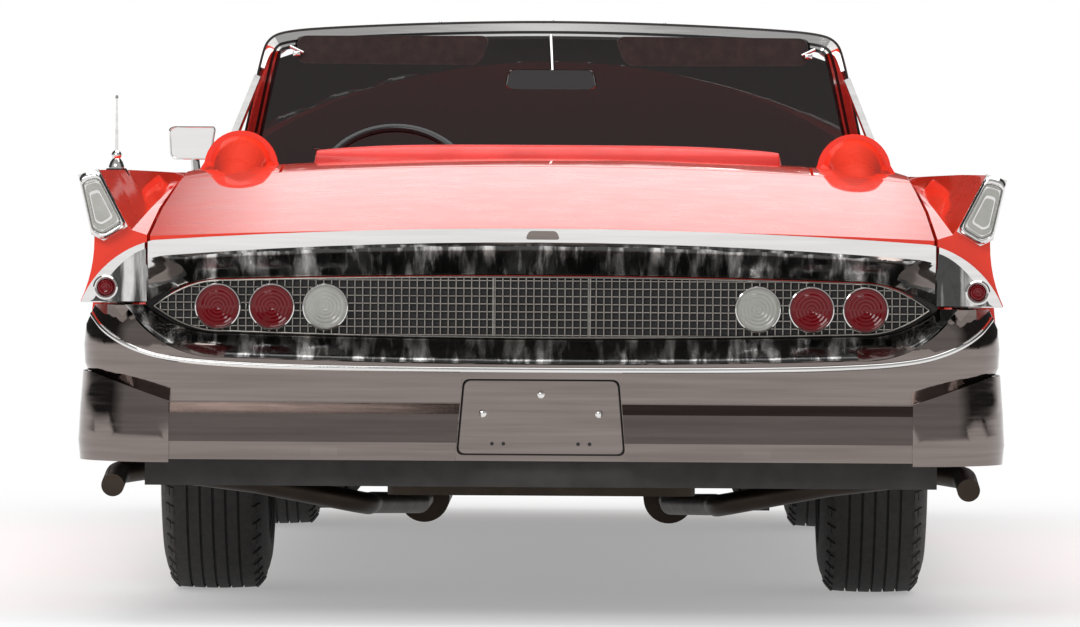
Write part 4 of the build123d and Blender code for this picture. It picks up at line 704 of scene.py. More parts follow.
class TailTrim(Operator):
    """Lining of the cove, bead along the bumper's lip, caps of the fins and the lock cover on the band"""
    bl_idname = "convertible.tail_trim"
    bl_label = "Tail trim"

    def execute(self, context):
        skin = 0.0012
        self.lining("cove_lining_lid", UPPER_MOUTH, UPPER_BACK, UPPER_TIP_Z, -skin, "trunk_lid", 0.0, 0.855)
        self.lining("cove_lining_ends", UPPER_MOUTH, UPPER_BACK, UPPER_TIP_Z, -skin, "root", 0.866, 1.0)
        self.lining("cove_lining_lower", LOWER_MOUTH, LOWER_BACK, LOWER_TIP_Z, skin, "root", 0.0, 1.0)
        right = [surface_point("bumper_rear", (x, -3.2, z), (0, 1, 0)) for x, z in LIP]
        lip = [(-x, y, z) for x, y, z in reversed(right[1:])] + right
        strip("bumper_lip", lip, props()[1].lip, "root", "chrome")
        self.oval_end_shades()
        self.fin_caps()
        bm = bmesh.new()
        cover = rounded([(-0.036, 0.842), (0.040, 0.842), (0.032, 0.861), (-0.028, 0.861)], 0.008)
        slab(bm, cover, OVAL_Y, OVAL_Y - 0.004)
        # The lock cover takes the bumpers' darker plating, whose colour holds painted reflection.
        piece("lock_cover", bm, "trunk_lid", "bumper", degrees=40)
        return {"FINISHED"}

    def oval_end_shades(self):
        """Skins on the quarters where the oval's upper half runs to its tips: painted shade and reflection in
        near-black chrome.
        """
        ends, foot_z = bmesh.new(), UPPER_TIP_Z + 0.0025
        for side in (-1, 1):
            curve = [(x - 0.016, z - 0.015) for x, z in arch_half(UPPER_RIM, UPPER_TIP_Z) if 0.875 < x < 0.992]
            outline = [(side * x, max(z, foot_z)) for x, z in curve + [(0.982, foot_z), (0.859, foot_z)]]
            slab(ends, outline, OVAL_Y, OVAL_Y - 0.0013)
        piece("oval_end_shades", ends, "root", "painted_cove_reflection")

    def fin_caps(self):
        """Rims and lenses on the rear ends of the fins."""
        rims, lenses = bmesh.new(), bmesh.new()
        for side in (-1, 1):
            corners = [(side * x, z) for x, z in ((0.9046, 0.8652), (0.9697, 0.990), (1.0134, 0.9771), (0.984, 0.8465),
                                                  (0.9565, 0.8336))]
            outline = rounded(corners, 0.016)
            ring(rims, outline, shrunk(outline, 0.74), TAIL_Y - 0.0238, -0.010)
            ring(lenses, shrunk(outline, 0.78), shrunk(outline, 0.40), TAIL_Y - 0.030, -0.004, 2)
            slab(lenses, shrunk(outline, 0.42), TAIL_Y - 0.030, TAIL_Y - 0.0345)
        piece("fin_rims", rims, "root", "chrome", degrees=60)
        piece("fin_lenses", lenses, "root", "clear_lens", degrees=50)

    def lining(self, name, mouth, back, tip_z, lift, body, low, high):
        """A skin over the cove between its mouth and the grille, between two distances from the middle, in chrome whose
        colour holds painted reflections.
        """
        bm = bmesh.new()
        mouth_y, depth = OVAL_Y + 0.001, 0.0665
        rows = []
        for (x0, z0), (x1, z1) in zip(arch_half(mouth, tip_z), arch_half(back, tip_z)):
            if not low <= abs(x0) <= high:
                rows.append(None)
                continue
            rows.append([bm.verts.new((x0 + (x1 - x0) * t, mouth_y + depth * t, z0 + (z1 - z0) * t + lift + shift))
                         for shift in (0.0, -lift * 0.7) for t in (0.0, 0.25, 0.5, 0.75, 0.98)])
        for near, far in zip(rows, rows[1:]):
            if near and far:
                for i in range(4):
                    bm.faces.new((near[i], near[i + 1], far[i + 1], far[i]))
                    bm.faces.new((near[i + 5], far[i + 5], far[i + 6], near[i + 6]))
                bm.faces.new((near[0], far[0], far[5], near[5]))
                bm.faces.new((near[4], near[9], far[9], far[4]))
        for here, other in zip(rows, rows[1:] + [None]):
            if here and not other:
                for i in range(4):
                    bm.faces.new((here[i], here[i + 1], here[i + 6], here[i + 5]))
        for here, other in zip(rows, [None] + rows[:-1]):
            if here and not other:
                for i in range(4):
                    bm.faces.new((here[i], here[i + 5], here[i + 6], here[i + 1]))
        piece(name, bm, body, "painted_cove_reflection", degrees=60)


class Tyres(Operator):
    """Ribbed tyres with cut shoulders and a pale band on the outer side"""
    bl_idname = "convertible.tyres"
    bl_label = "Tyres"

    def execute(self, context):
        sizes = props()[1]
        half, grooves = TYRE_SIDE[0][0], sizes.groove_count
        gap = 2 * half / (grooves + 1)
        tread = []
        for i in range(grooves):
            at = -half + (i + 1) * gap
            crown = AXLE_Z - 0.0035 * (at / half) ** 2
            low = at - sizes.groove_width / 2
            high = at + sizes.groove_width / 2
            tread += [(low, crown), (low, crown - sizes.groove_depth), (high, crown - sizes.groove_depth),
                      (high, crown)]
        side = list(TYRE_SIDE + TYRE_FOOT)
        profile = [(-a, r) for a, r in reversed(side)] + tread + side
        for corner, sign, y in CORNERS:
            centre = (sign * HALF_TRACK, y, AXLE_Z)
            bm = bmesh.new()
            turned(bm, profile + [profile[0]], centre, (sign, 0, 0), sizes.tyre_steps)
            self.cut_shoulders(bm, Vector(centre), sizes.tyre_steps)
            piece(f"tyre_{corner}_ribbed", bm, f"road_wheel_{corner}", "rubber", (f"tyre_{corner}",), 40)
            bm = bmesh.new()
            turned(bm, [(0.1205, 0.2455), (0.1225, 0.2470), (0.1247, 0.2700), (0.1250, 0.2900), (0.1235, 0.2990),
                        (0.1215, 0.2985), (0.1205, 0.2455)], centre, (sign, 0, 0), sizes.tyre_steps)
            piece(f"white_band_{corner}", bm, f"road_wheel_{corner}", "whitewall", degrees=50)
        return {"FINISHED"}

    def cut_shoulders(self, bm, centre, steps):
        """Press every second field of the shoulders inwards."""
        picked = []
        for face in bm.faces:
            offset = face.calc_center_median() - centre
            radius = math.hypot(offset.y, offset.z)
            if 0.345 < radius < 0.366 and 0.089 < abs(offset.x) < 0.112:
                if round(math.atan2(offset.z, offset.y) / (2 * math.pi / steps) - 0.5) % 2:
                    picked.append(face)
        bmesh.ops.inset_individual(bm, faces=picked, thickness=0.0012, depth=-0.004, use_even_offset=True)


class WheelCovers(Operator):
    """Stepped wheel covers with a ring of fins"""
    bl_idname = "convertible.wheel_covers"
    bl_label = "Wheel covers"

    def execute(self, context):
        profile = [(0.050, 0.169), (0.058, 0.1685), (0.0625, 0.160), (0.0635, 0.150), (0.060, 0.142), (0.060, 0.100),
                   (0.066, 0.092), (0.0725, 0.084), (0.0745, 0.060), (0.0752, 0.032), (0.0760, 0.030), (0.0760, 0.0)]
        for corner, sign, y in CORNERS:
            centre = Vector((sign * HALF_TRACK, y, AXLE_Z))
            bm = bmesh.new()
            turned(bm, profile, centre, (sign, 0, 0), 64)
            fins = bmesh.new()
            bar(fins, (0.0585, -0.0022, 0.101), (0.0655, 0.0022, 0.140), 0.0010, 1)
            bmesh.ops.spin(fins, geom=fins.verts[:] + fins.edges[:] + fins.faces[:], cent=(0, 0, 0), axis=(1, 0, 0),
                           angle=2 * math.pi, steps=36, use_merge=False, use_duplicate=True)
            bmesh.ops.scale(fins, vec=(sign, 1, 1), verts=fins.verts[:])
            bmesh.ops.translate(fins, vec=centre, verts=fins.verts[:])
            piece(f"cover_{corner}", bm, f"road_wheel_{corner}", "chrome", degrees=40)
            piece(f"cover_fins_{corner}", fins, f"road_wheel_{corner}", "chrome")
        return {"FINISHED"}


# How far a pad's corners draw in, the field size along each axis, the plain edge beside the sewn channels and the
# width over which they begin, the depth, place and width of the welt round them, and the share of the way from the
# middle beyond which a vertex lies on a face.
CROWN = 0.018
FIELDS = (0.0144, 0.030, 0.030)
PLAIN_EDGE, BEGIN = 0.045, 0.03
WELT_DEPTH, WELT_AT, WELT_WIDTH = 0.006, 0.042, 0.007
ON_FACE = 0.999


def pad(name, low, high, along, stands_for=()):
    """A stuffed block: crowned faces, pulled-in sides and sewn channels on the face that is sat on."""
    low, high = Vector(low), Vector(high)
    sizes = props()[1]
    bm = bmesh.new()
    bmesh.ops.create_cube(bm, size=1.0)
    size, middle = high - low, (low + high) / 2
    bmesh.ops.subdivide_edges(bm, edges=bm.edges[:], cuts=1, use_grid_fill=True)
    for axis, step in enumerate(FIELDS):
        cuts = max(2, round(size[axis] / step))
        for i in range(1, cuts):
            at = -0.5 + i / cuts
            if abs(at) < 1e-6:
                continue
            normal = Vector((axis == 0, axis == 1, axis == 2))
            bmesh.ops.bisect_plane(bm, geom=bm.verts[:] + bm.edges[:] + bm.faces[:], plane_co=normal * at,
                                   plane_no=normal, dist=1e-6)
    pitch = size.x / max(1, round(size.x / sizes.pleat_pitch))
    for vert in bm.verts:
        u = vert.co * 2
        x = vert.co.x * size.x
        pulled = Vector(vert.co)
        for axis in range(3):
            others = [abs(u[i]) for i in range(3) if i != axis]
            if abs(u[axis]) > ON_FACE:
                swell = (1 - others[0] ** 4) * (1 - others[1] ** 4)
                pulled[axis] -= math.copysign((1 - swell) * CROWN / size[axis], u[axis])
        if u[along[0]] * along[1] > ON_FACE:
            rim = min((1 - abs(u[i])) * size[i] / 2 for i in range(3) if i != along[0])
            inside = min(1, max(0, (rim - PLAIN_EDGE) / BEGIN))
            wave = abs(math.sin(math.pi * (x / pitch + 0.5)))
            groove = (1 - wave) ** 3 * sizes.pleat_depth * inside
            welt = WELT_DEPTH * math.exp(-((rim - WELT_AT) / WELT_WIDTH) ** 2)
            pulled[along[0]] -= along[1] * (groove + welt) / size[along[0]]
        vert.co = Vector(pulled[i] * size[i] + middle[i] for i in range(3))
    bmesh.ops.smooth_vert(bm, verts=bm.verts[:], factor=0.5, use_axis_x=True, use_axis_y=True, use_axis_z=True)
    made = piece(name, bm, "root", "leather", stands_for, 80)
    finer = made.modifiers.new("finer", "SUBSURF")
    finer.levels = finer.render_levels = 1


class Seats(Operator):
    """Front and rear bench with sewn channels"""
    bl_idname = "convertible.seats"
    bl_label = "Seats"

    def execute(self, context):
        upward, forward = (2, 1), (1, 1)
        pad("front_cushion", (-0.688, -0.238, 0.442), (0.688, 0.268, 0.528), upward, ("front_seat",))
        pad("front_backrest", (-0.688, -0.398, 0.440), (0.688, -0.242, 0.983), forward)
        pad("rear_cushion", (-0.573, -1.018, 0.442), (0.573, -0.602, 0.518), upward, ("rear_seat",))
        pad("rear_backrest", (-0.573, -1.175, 0.442), (0.573, -1.022, 1.056), forward)
        # Near-black boxes beneath the cushions: painted shade under the seats.
        bm = bmesh.new()
        for low, high in (((-0.652, -0.202), (0.652, 0.232)), ((-0.537, -0.982), (0.537, -0.638))):
            for side in (-1, 1):
                edge = sorted((side * 0.152, side * abs(low[0])))
                bar(bm, (edge[0], low[1], 0.2825), (edge[1], high[1], 0.450), 0.012)
        piece("seat_shade_boxes", bm, "root", "shade")
        return {"FINISHED"}


# The right half of the windshield's outline as (x, z), from its foot to the middle of the header.
HOOP = ((0.858, 0.930), (0.812, 1.112), (0.768, 1.296), (0.748, 1.342), (0.700, 1.362), (0.560, 1.374),
        (0.280, 1.388), (0.0, 1.3935))


def slab_y(x, z):
    """Where the middle of the leaning, curved windshield lies along the car."""
    up = (z - 0.930) / 0.490
    across = x / (0.900 - 0.100 * up)
    foot = 1.128 - 0.328 * across ** 2
    head = 0.668 - 0.216 * across ** 2
    return foot + (head - foot) * up


def hoop_line():
    """The windshield's outline from its right foot over the header to its left foot, with rounded corners."""
    line = [Vector(p) for p in HOOP] + [Vector((-x, z)) for x, z in reversed(HOOP[:-1])]
    for _ in range(3):
        finer = [line[0]]
        for a, b in zip(line, line[1:]):
            finer += [a * 0.75 + b * 0.25, a * 0.25 + b * 0.75]
        line = finer + [line[-1]]
    return line


def hoop_band(near, far, back, front):
    """A band round the windshield between two distances inside its outline and two depths about its middle."""
    line = hoop_line()
    bm = bmesh.new()
    rows = []
    for i, here in enumerate(line):
        along = (line[min(i + 1, len(line) - 1)] - line[max(i - 1, 0)]).normalized()
        inward = Vector((-along.y, along.x))
        middle = slab_y(here.x, here.y)
        row = []
        for inset, depth in ((near, back), (far, back), (far, front), (near, front)):
            x, z = here + inward * inset
            row.append(bm.verts.new((x, middle + depth, z)))
        rows.append(row)
    for a, b in zip(rows, rows[1:]):
        for k in range(4):
            bm.faces.new((a[k], a[(k + 1) % 4], b[(k + 1) % 4], b[k]))
    bm.faces.new(rows[0])
    bm.faces.new(rows[-1])
    return bm


class Windshield(Operator):
    """Frame of the windshield with its rubber, chrome and inner trim, sun visors and inside mirror"""
    bl_idname = "convertible.windshield"
    bl_label = "Windshield trim"

    def execute(self, context):
        piece("windshield_rubber", hoop_band(0.0, 0.007, -0.024, 0.026), "root", "seal")
        piece("windshield_chrome", hoop_band(0.0065, 0.0265, -0.026, 0.024), "root", "chrome",
              ("windshield_frame",), 50)
        piece("windshield_core", hoop_band(0.026, 0.048, -0.0215, 0.022), "root", "black")
        piece("windshield_bead", hoop_band(0.034, 0.040, -0.0245, -0.018), "root", "chrome")
        self.header()
        self.visors()
        self.mirror()
        return {"FINISHED"}

    def header(self):
        """Trim in the upper corners, and the joints and pins on the header."""
        bm = bmesh.new()
        for side in (-1, 1):
            corner = rounded([(side * x, z) for x, z in ((0.745, 1.275), (0.722, 1.335), (0.640, 1.346),
                                                         (0.700, 1.310))], 0.02)
            slab(bm, corner, 0.0257, 0.0217)
        for vert in bm.verts:
            vert.co.y = slab_y(vert.co.x, vert.co.z) - vert.co.y
        piece("corner_trim", bm, "root", "leather", degrees=40)
        bm = bmesh.new()
        for x in (-0.57, 0.57):
            top = Vector((x, slab_y(x, 1.37) - 0.0265, 1.3735))
            bar(bm, top + Vector((-0.0012, -0.0012, -0.028)), top + Vector((0.0012, 0.002, -0.004)))
        piece("header_joints", bm, "root", "shade")
        bm = bmesh.new()
        for x, z in ((-0.298, 1.3835), (0.0, 1.3885), (0.295, 1.3835)):
            y = slab_y(x, z)
            rod(bm, (x, y - 0.004, z - 0.006), (x, y - 0.004, z + 0.0055), 0.0042, 0.0030, 12)
        piece("header_pins", bm, "root", "chrome", degrees=50)

    def visors(self):
        """Padded sun visors on arms from the header, with a clip at each outer end."""
        bm, clips = bmesh.new(), bmesh.new()
        for side in (-1, 1):
            outline = rounded([(side * x, z) for x, z in ((0.163, 1.349), (0.671, 1.347), (0.671, 1.274),
                                                          (0.190, 1.272))], 0.026)
            for proud in (-0.0040, 0.0040):
                ring(bm, outline, shrunk(outline, 0.985), 0.5295, proud, 4)
            slab(bm, shrunk(outline, 0.988), 0.5262, 0.5335)
            rod(clips, (side * 0.655, 0.520, 1.302), (side * 0.690, 0.520, 1.318), 0.0045, 0.0045, 12)
            bar(clips, (side * 0.672 - 0.010, 0.514, 1.292), (side * 0.672 + 0.010, 0.5275, 1.306), 0.003)
            for x, z, end_x, end_z in ((0.650, 1.332, 0.700, 1.322), (0.200, 1.336, 0.200, 1.353)):
                rod(clips, (side * x, 0.530, z), (side * end_x, slab_y(end_x, end_z) - 0.012, end_z), 0.004, 0.004, 12)
        piece("visor_pads", bm, "root", "cloth", ("sun_visors",), 50)
        piece("visor_clips", clips, "root", "chrome", degrees=50)

    def mirror(self):
        """Inside mirror on its stalk from the header."""
        rim, glass = bmesh.new(), bmesh.new()
        outline = rounded([(-0.117, 1.262), (0.109, 1.262), (0.117, 1.216), (0.100, 1.209), (-0.108, 1.209),
                           (-0.125, 1.216)], 0.016)
        ring(rim, outline, shrunk(outline, 0.955), 0.5800, -0.005, 4)
        slab(rim, shrunk(outline, 0.98), 0.5800, 0.5980)
        slab(glass, shrunk(outline, 0.962), 0.5785, 0.5805)
        rod(rim, (0.0, 0.594, 1.250), (-0.006, 0.676, 1.355), 0.0055, 0.0065, 16)
        piece("inside_mirror_rim", rim, "root", "chrome", ("inside_mirror",), 50)
        piece("inside_mirror_face", glass, "root", "glass", degrees=50)


class Outside(Operator):
    """Side mirror, aerial, side mouldings, handles and the lenses of the headlamps"""
    bl_idname = "convertible.outside"
    bl_label = "Outside trim"

    def execute(self, context):
        self.side_mirror()
        self.aerial()
        for side, sign in SIDES:
            self.mouldings(side, sign)
            self.handle(side, sign)
        self.nose()
        self.wipers()
        return {"FINISHED"}

    def mouldings(self, side, sign):
        """A thick and a thin moulding along the quarter, the door and the fender of one side."""
        thick = props()[1].moulding
        runs = ((f"quarter_{side}", "root", -2.30, -0.415), (f"door_{side}", f"door_{side}", -0.390, 1.000),
                (f"fender_{side}", "root", 1.025, 2.640))
        for node, body, low, high in runs:
            steps = max(4, round((high - low) / 0.12))
            for level, z, radius in (("upper", 0.822, thick), ("lower", 0.806, thick * 0.6)):
                points = [surface_point(node, (sign * CLEAR_OF_CAR, low + (high - low) * i / steps, z), (-sign, 0, 0))
                          for i in range(steps + 1)]
                strip(f"moulding_{level}_{node}", points, radius, body, "chrome")

    def handle(self, side, sign):
        """A door handle on two feet."""
        bm = bmesh.new()
        feet = [surface_point(f"door_{side}", (sign * CLEAR_OF_CAR, y, 0.868), (-sign, 0, 0))
                for y in (-0.300, -0.170)]
        for foot in feet:
            rod(bm, foot - Vector((sign * 0.006, 0, 0)), foot + Vector((sign * 0.018, 0, 0)), 0.011, 0.009, 16)
        rod(bm, feet[0] + Vector((sign * 0.016, -0.018, 0)), feet[1] + Vector((sign * 0.016, 0.010, 0)),
            0.0085, 0.0065, 16)
        piece(f"handle_{side}", bm, f"door_{side}", "chrome", degrees=50)

    def nose(self):
        """Lip of the hood, dark shade behind the front grille and lenses of the headlamps."""
        lip, shade, lenses = bmesh.new(), bmesh.new(), bmesh.new()
        half, steps = 0.690, 12
        arc = [(half * i / steps, 0.9004 - 0.0356 * (i / steps) ** 2) for i in range(-steps, steps + 1)]
        slab(lip, [(-half, 0.8575), (half, 0.8575)] + arc[::-1], 2.742, 2.768)
        piece("hood_lip", lip, "hood", "paint")
        slab(shade, rounded([(-0.634, 0.605), (0.634, 0.605), (0.634, 0.775), (-0.634, 0.775)], 0.084, 12),
             2.7710, 2.7732)
        piece("front_grille_shade", shade, "root", "shade", degrees=40)
        profile = lamp_profile(0.0714, 0.022, 0.012, props()[1].lens_rings)
        for side in (-1, 1):
            for x, z in ((0.868, 0.836), (0.742, 0.752)):
                turned(lenses, profile, (side * x, 2.7718, z), (0, 1, 0))
        piece("headlamp_lenses", lenses, "root", "clear_lens", ("headlamps",), 60)

    def wipers(self):
        """Two wipers at rest along the windshield's foot."""
        bm = bmesh.new()
        for x, reach in ((-0.36, 0.28), (0.30, 0.30)):
            foot = Vector((x, 1.150 - 0.32 * (x / 0.9) ** 2, 1.022))
            tip = Vector((x - reach, slab_y(x - 0.29, 1.06) + 0.014, 1.052))
            rod(bm, foot - Vector((0, 0, 0.012)), foot + Vector((0, 0, 0.010)), 0.014, 0.010, 16)
            rod(bm, foot, tip, 0.0045, 0.0030, 10)
        piece("wipers", bm, "root", "chrome", degrees=50)

    def side_mirror(self):
        """Mirror on a foot on the left door."""
        rim, glass = bmesh.new(), bmesh.new()
        outline = rounded([(-1.003, 1.100), (-0.990, 1.106), (-0.884, 1.106), (-0.880, 1.098), (-0.892, 1.024),
                           (-0.900, 1.019), (-0.990, 1.019), (-1.000, 1.030)], 0.018)
        ring(rim, outline, shrunk(outline, 0.90), 0.450, -0.006, 5)
        slab(rim, shrunk(outline, 0.97), 0.450, 0.488)
        slab(glass, shrunk(outline, 0.92), 0.4478, 0.4505)
        spot = surface_point("door_left", (-0.930, 0.470, CLEAR_OF_CAR), (0, 0, -1))
        base = spot - Vector((0, 0, 0.004))
        rod(rim, base, (-0.936, 0.472, 1.030), 0.013, 0.011)
        rod(rim, base, spot + Vector((0, 0, 0.010)), 0.024, 0.018, 24)
        piece("side_mirror_shell", rim, "door_left", "chrome", ("side_mirror",), 50)
        piece("side_mirror_face", glass, "door_left", "mirror", degrees=50)

    def aerial(self):
        """Aerial with stepped rods on a pad on the left fin."""
        bm, pad_mesh = bmesh.new(), bmesh.new()
        x, y = -0.960, -2.340
        base = surface_point("quarter_left", (x, y, CLEAR_OF_CAR), (0, 0, -1))
        rod(pad_mesh, base - Vector((0, 0, 0.010)), base + Vector((0, 0, 0.006)), 0.030, 0.022, 24)
        foot = base + Vector((0, 0, 0.004))
        turned(bm, [(0.0, 0.0), (0.0, 0.017), (0.006, 0.0175), (0.016, 0.014), (0.024, 0.0085), (0.028, 0.0105),
                    (0.033, 0.0115), (0.038, 0.0095), (0.042, 0.0050), (0.042, 0.0)], foot, (0, 0, 1), 28)
        low, mast_top = foot.z + 0.040, 1.149
        for top, radius in ((low + 0.050, 0.0034), (low + 0.086, 0.0026), (mast_top, 0.0018)):
            rod(bm, (x, y, low), (x, y, top), radius, radius, 14)
            low = top
        rod(bm, (x, y, mast_top), (x, y, mast_top + 0.007), 0.0034, 0.0026, 12)
        piece("aerial_mast", bm, "root", "chrome", ("aerial",), 40)
        piece("aerial_pad", pad_mesh, "root", "black", degrees=50)


class Underside(Operator):
    """Near-black rails beside the rear springs: painted shade that fills gaps under the body"""
    bl_idname = "convertible.underside"
    bl_label = "Underside"

    def execute(self, context):
        # Dark-metal bars that close see-through gaps beside the rear springs: painted shade under the body.
        bm = bmesh.new()
        for side in (-1, 1):
            for low, high, foot in ((-2.15, -1.495, 0.340), (-1.497, -1.310, 0.425), (-1.312, -0.980, 0.340)):
                bar(bm, (side * 0.530, low, foot), (side * 0.568, high, 0.500), 0.006)
        piece("rear_shade_rails", bm, "root", "dark_metal")
        return {"FINISHED"}


class Cabin(Operator):
    """Cards of the doors, seals of the lock pillars, trim and dials of the dashboard and the horn ring"""
    bl_idname = "convertible.cabin"
    bl_label = "Cabin trim"

    def execute(self, context):
        for side, sign in SIDES:
            self.door_card(side, sign)
        seals = bmesh.new()
        for side in (-1, 1):
            bar(seals, (side * 0.775, -0.4067, 0.345), (side * 0.860, -0.3935, 0.868), 0.003)
        piece("lock_pillar_seals", seals, "root", "seal")
        self.dashboard()
        self.horn_ring()
        return {"FINISHED"}

    def door_card(self, side, sign):
        """Card of a door with padded ribs, arm rest, metal strip and window winder."""
        card, metal = bmesh.new(), bmesh.new()

        def at(depth, y, z):
            """A point at a depth inside the door's inner face."""
            return sign * (0.8682 - depth), y, z

        bar(card, at(0.0, -0.330, 0.420), at(0.004, 0.740, 0.905))
        for i in range(12):
            y = -0.290 + 0.080 * i
            bar(card, at(0.003, y, 0.480), at(0.009, y + 0.070, 0.700), 0.0028)
        bar(card, at(0.003, -0.200, 0.735), at(0.050, 0.180, 0.790), 0.014, 3)
        bar(metal, at(0.003, -0.325, 0.712), at(0.010, 0.735, 0.722), 0.003)
        rod(metal, at(0.002, 0.420, 0.800), at(0.020, 0.420, 0.800), 0.020, 0.016)
        rod(metal, at(0.016, 0.420, 0.800), at(0.022, 0.330, 0.812), 0.006, 0.005)
        piece(f"door_card_{side}", card, f"door_{side}", "leather", degrees=50)
        piece(f"door_card_metal_{side}", metal, f"door_{side}", "chrome", degrees=50)

    def dashboard(self):
        """Two bright strips, three dials and four knobs."""
        metal, dials = bmesh.new(), bmesh.new()
        bar(metal, (-0.700, 0.7545, 0.792), (0.700, 0.7610, 0.804), 0.003)
        bar(metal, (-0.700, 0.7545, 0.745), (0.700, 0.7610, 0.751), 0.002)
        for x in (-0.520, -0.405, -0.290):
            centre = (x, 0.7605, 0.800)
            turned(metal, [(0.0, 0.041), (0.0, 0.048), (0.008, 0.049), (0.012, 0.046), (0.008, 0.041), (0.0, 0.041)],
                   centre, BACKWARD, 36)
            turned(dials, [(0.0, 0.0), (0.0, 0.0415), (0.0075, 0.0415), (0.0075, 0.0)], centre, BACKWARD, 32)
        for x in (-0.06, 0.0, 0.06, 0.12):
            turned(metal, [(0.0, 0.0), (0.0, 0.011), (0.012, 0.009), (0.012, 0.0)], (x, 0.7605, 0.770), BACKWARD, 20)
        piece("dash_metal", metal, "root", "chrome", degrees=50)
        piece("dash_dials", dials, "root", "black", degrees=50)

    def horn_ring(self):
        """Ring with two spokes and a hub that turn with the steering wheel."""
        tilt = math.radians(28.0)
        axis = Vector((0, -math.cos(tilt), math.sin(tilt)))
        centre = Vector((-0.405, 0.232, 0.917))
        bm = bmesh.new()
        loop = [(0.004 * math.cos(i * math.pi / 4), 0.118 + 0.004 * math.sin(i * math.pi / 4)) for i in range(9)]
        turned(bm, loop, centre + axis * 0.012, axis, 64)
        turned(bm, [(0.0, 0.0), (0.0, 0.036), (0.004, 0.034), (0.010, 0.022), (0.012, 0.0)],
               centre + axis * 0.0225, axis, 40)
        for side in (-1, 1):
            rod(bm, centre + axis * 0.014 + Vector((side * 0.030, 0, 0)),
                centre + axis * 0.012 + Vector((side * 0.117, 0, 0)), 0.005, 0.004, 12)
        piece("horn_ring", bm, "steering_wheel", "chrome", degrees=50)


class Plate(Operator):
    """Recess for the number plate: its screws, and a rim and small holes in near-black painted shade"""
    bl_idname = "convertible.plate_recess"
    bl_label = "Plate recess"

    def execute(self, context):
        sizes = props()[1]
        floor_y = -2.8245
        bm = bmesh.new()
        for x, z in ((-0.127, 0.462), (0.127, 0.462), (0.0, 0.504)):
            turned(bm, [(0.0, 0.0), (0.0, sizes.screw_radius), (0.0015, sizes.screw_radius),
                        (0.0042, sizes.screw_radius * 0.6), (0.0048, 0.0)], (x, floor_y, z), BACKWARD, 20)
        piece("plate_screws", bm, "root", "chrome")
        # A near-black ring round the recess floor: painted shade along the recess's edges.
        bm = bmesh.new()
        outline = rounded([(-0.1845, 0.3705), (0.1845, 0.3705), (0.1705, 0.5370), (-0.1705, 0.5370)], 0.016)
        middle_z = 0.4540
        ring(bm, outline, [(x * 0.975, middle_z + (z - middle_z) * 0.953) for x, z in outline], floor_y, -0.004)
        piece("plate_shade_ring", bm, "root", "shade", degrees=60)
        # Small holes as near-black discs: painted shade inside them.
        bm = bmesh.new()
        for middle in (-0.094, 0.094):
            for shift in (-0.0125, 0.0125):
                turned(bm, [(0.0, 0.0), (0.0, 0.0042), (0.0006, 0.0042), (0.0006, 0.0)],
                       (middle + shift, floor_y, 0.396), BACKWARD, 14)
        piece("plate_small_holes", bm, "root", "shade")
        return {"FINISHED"}


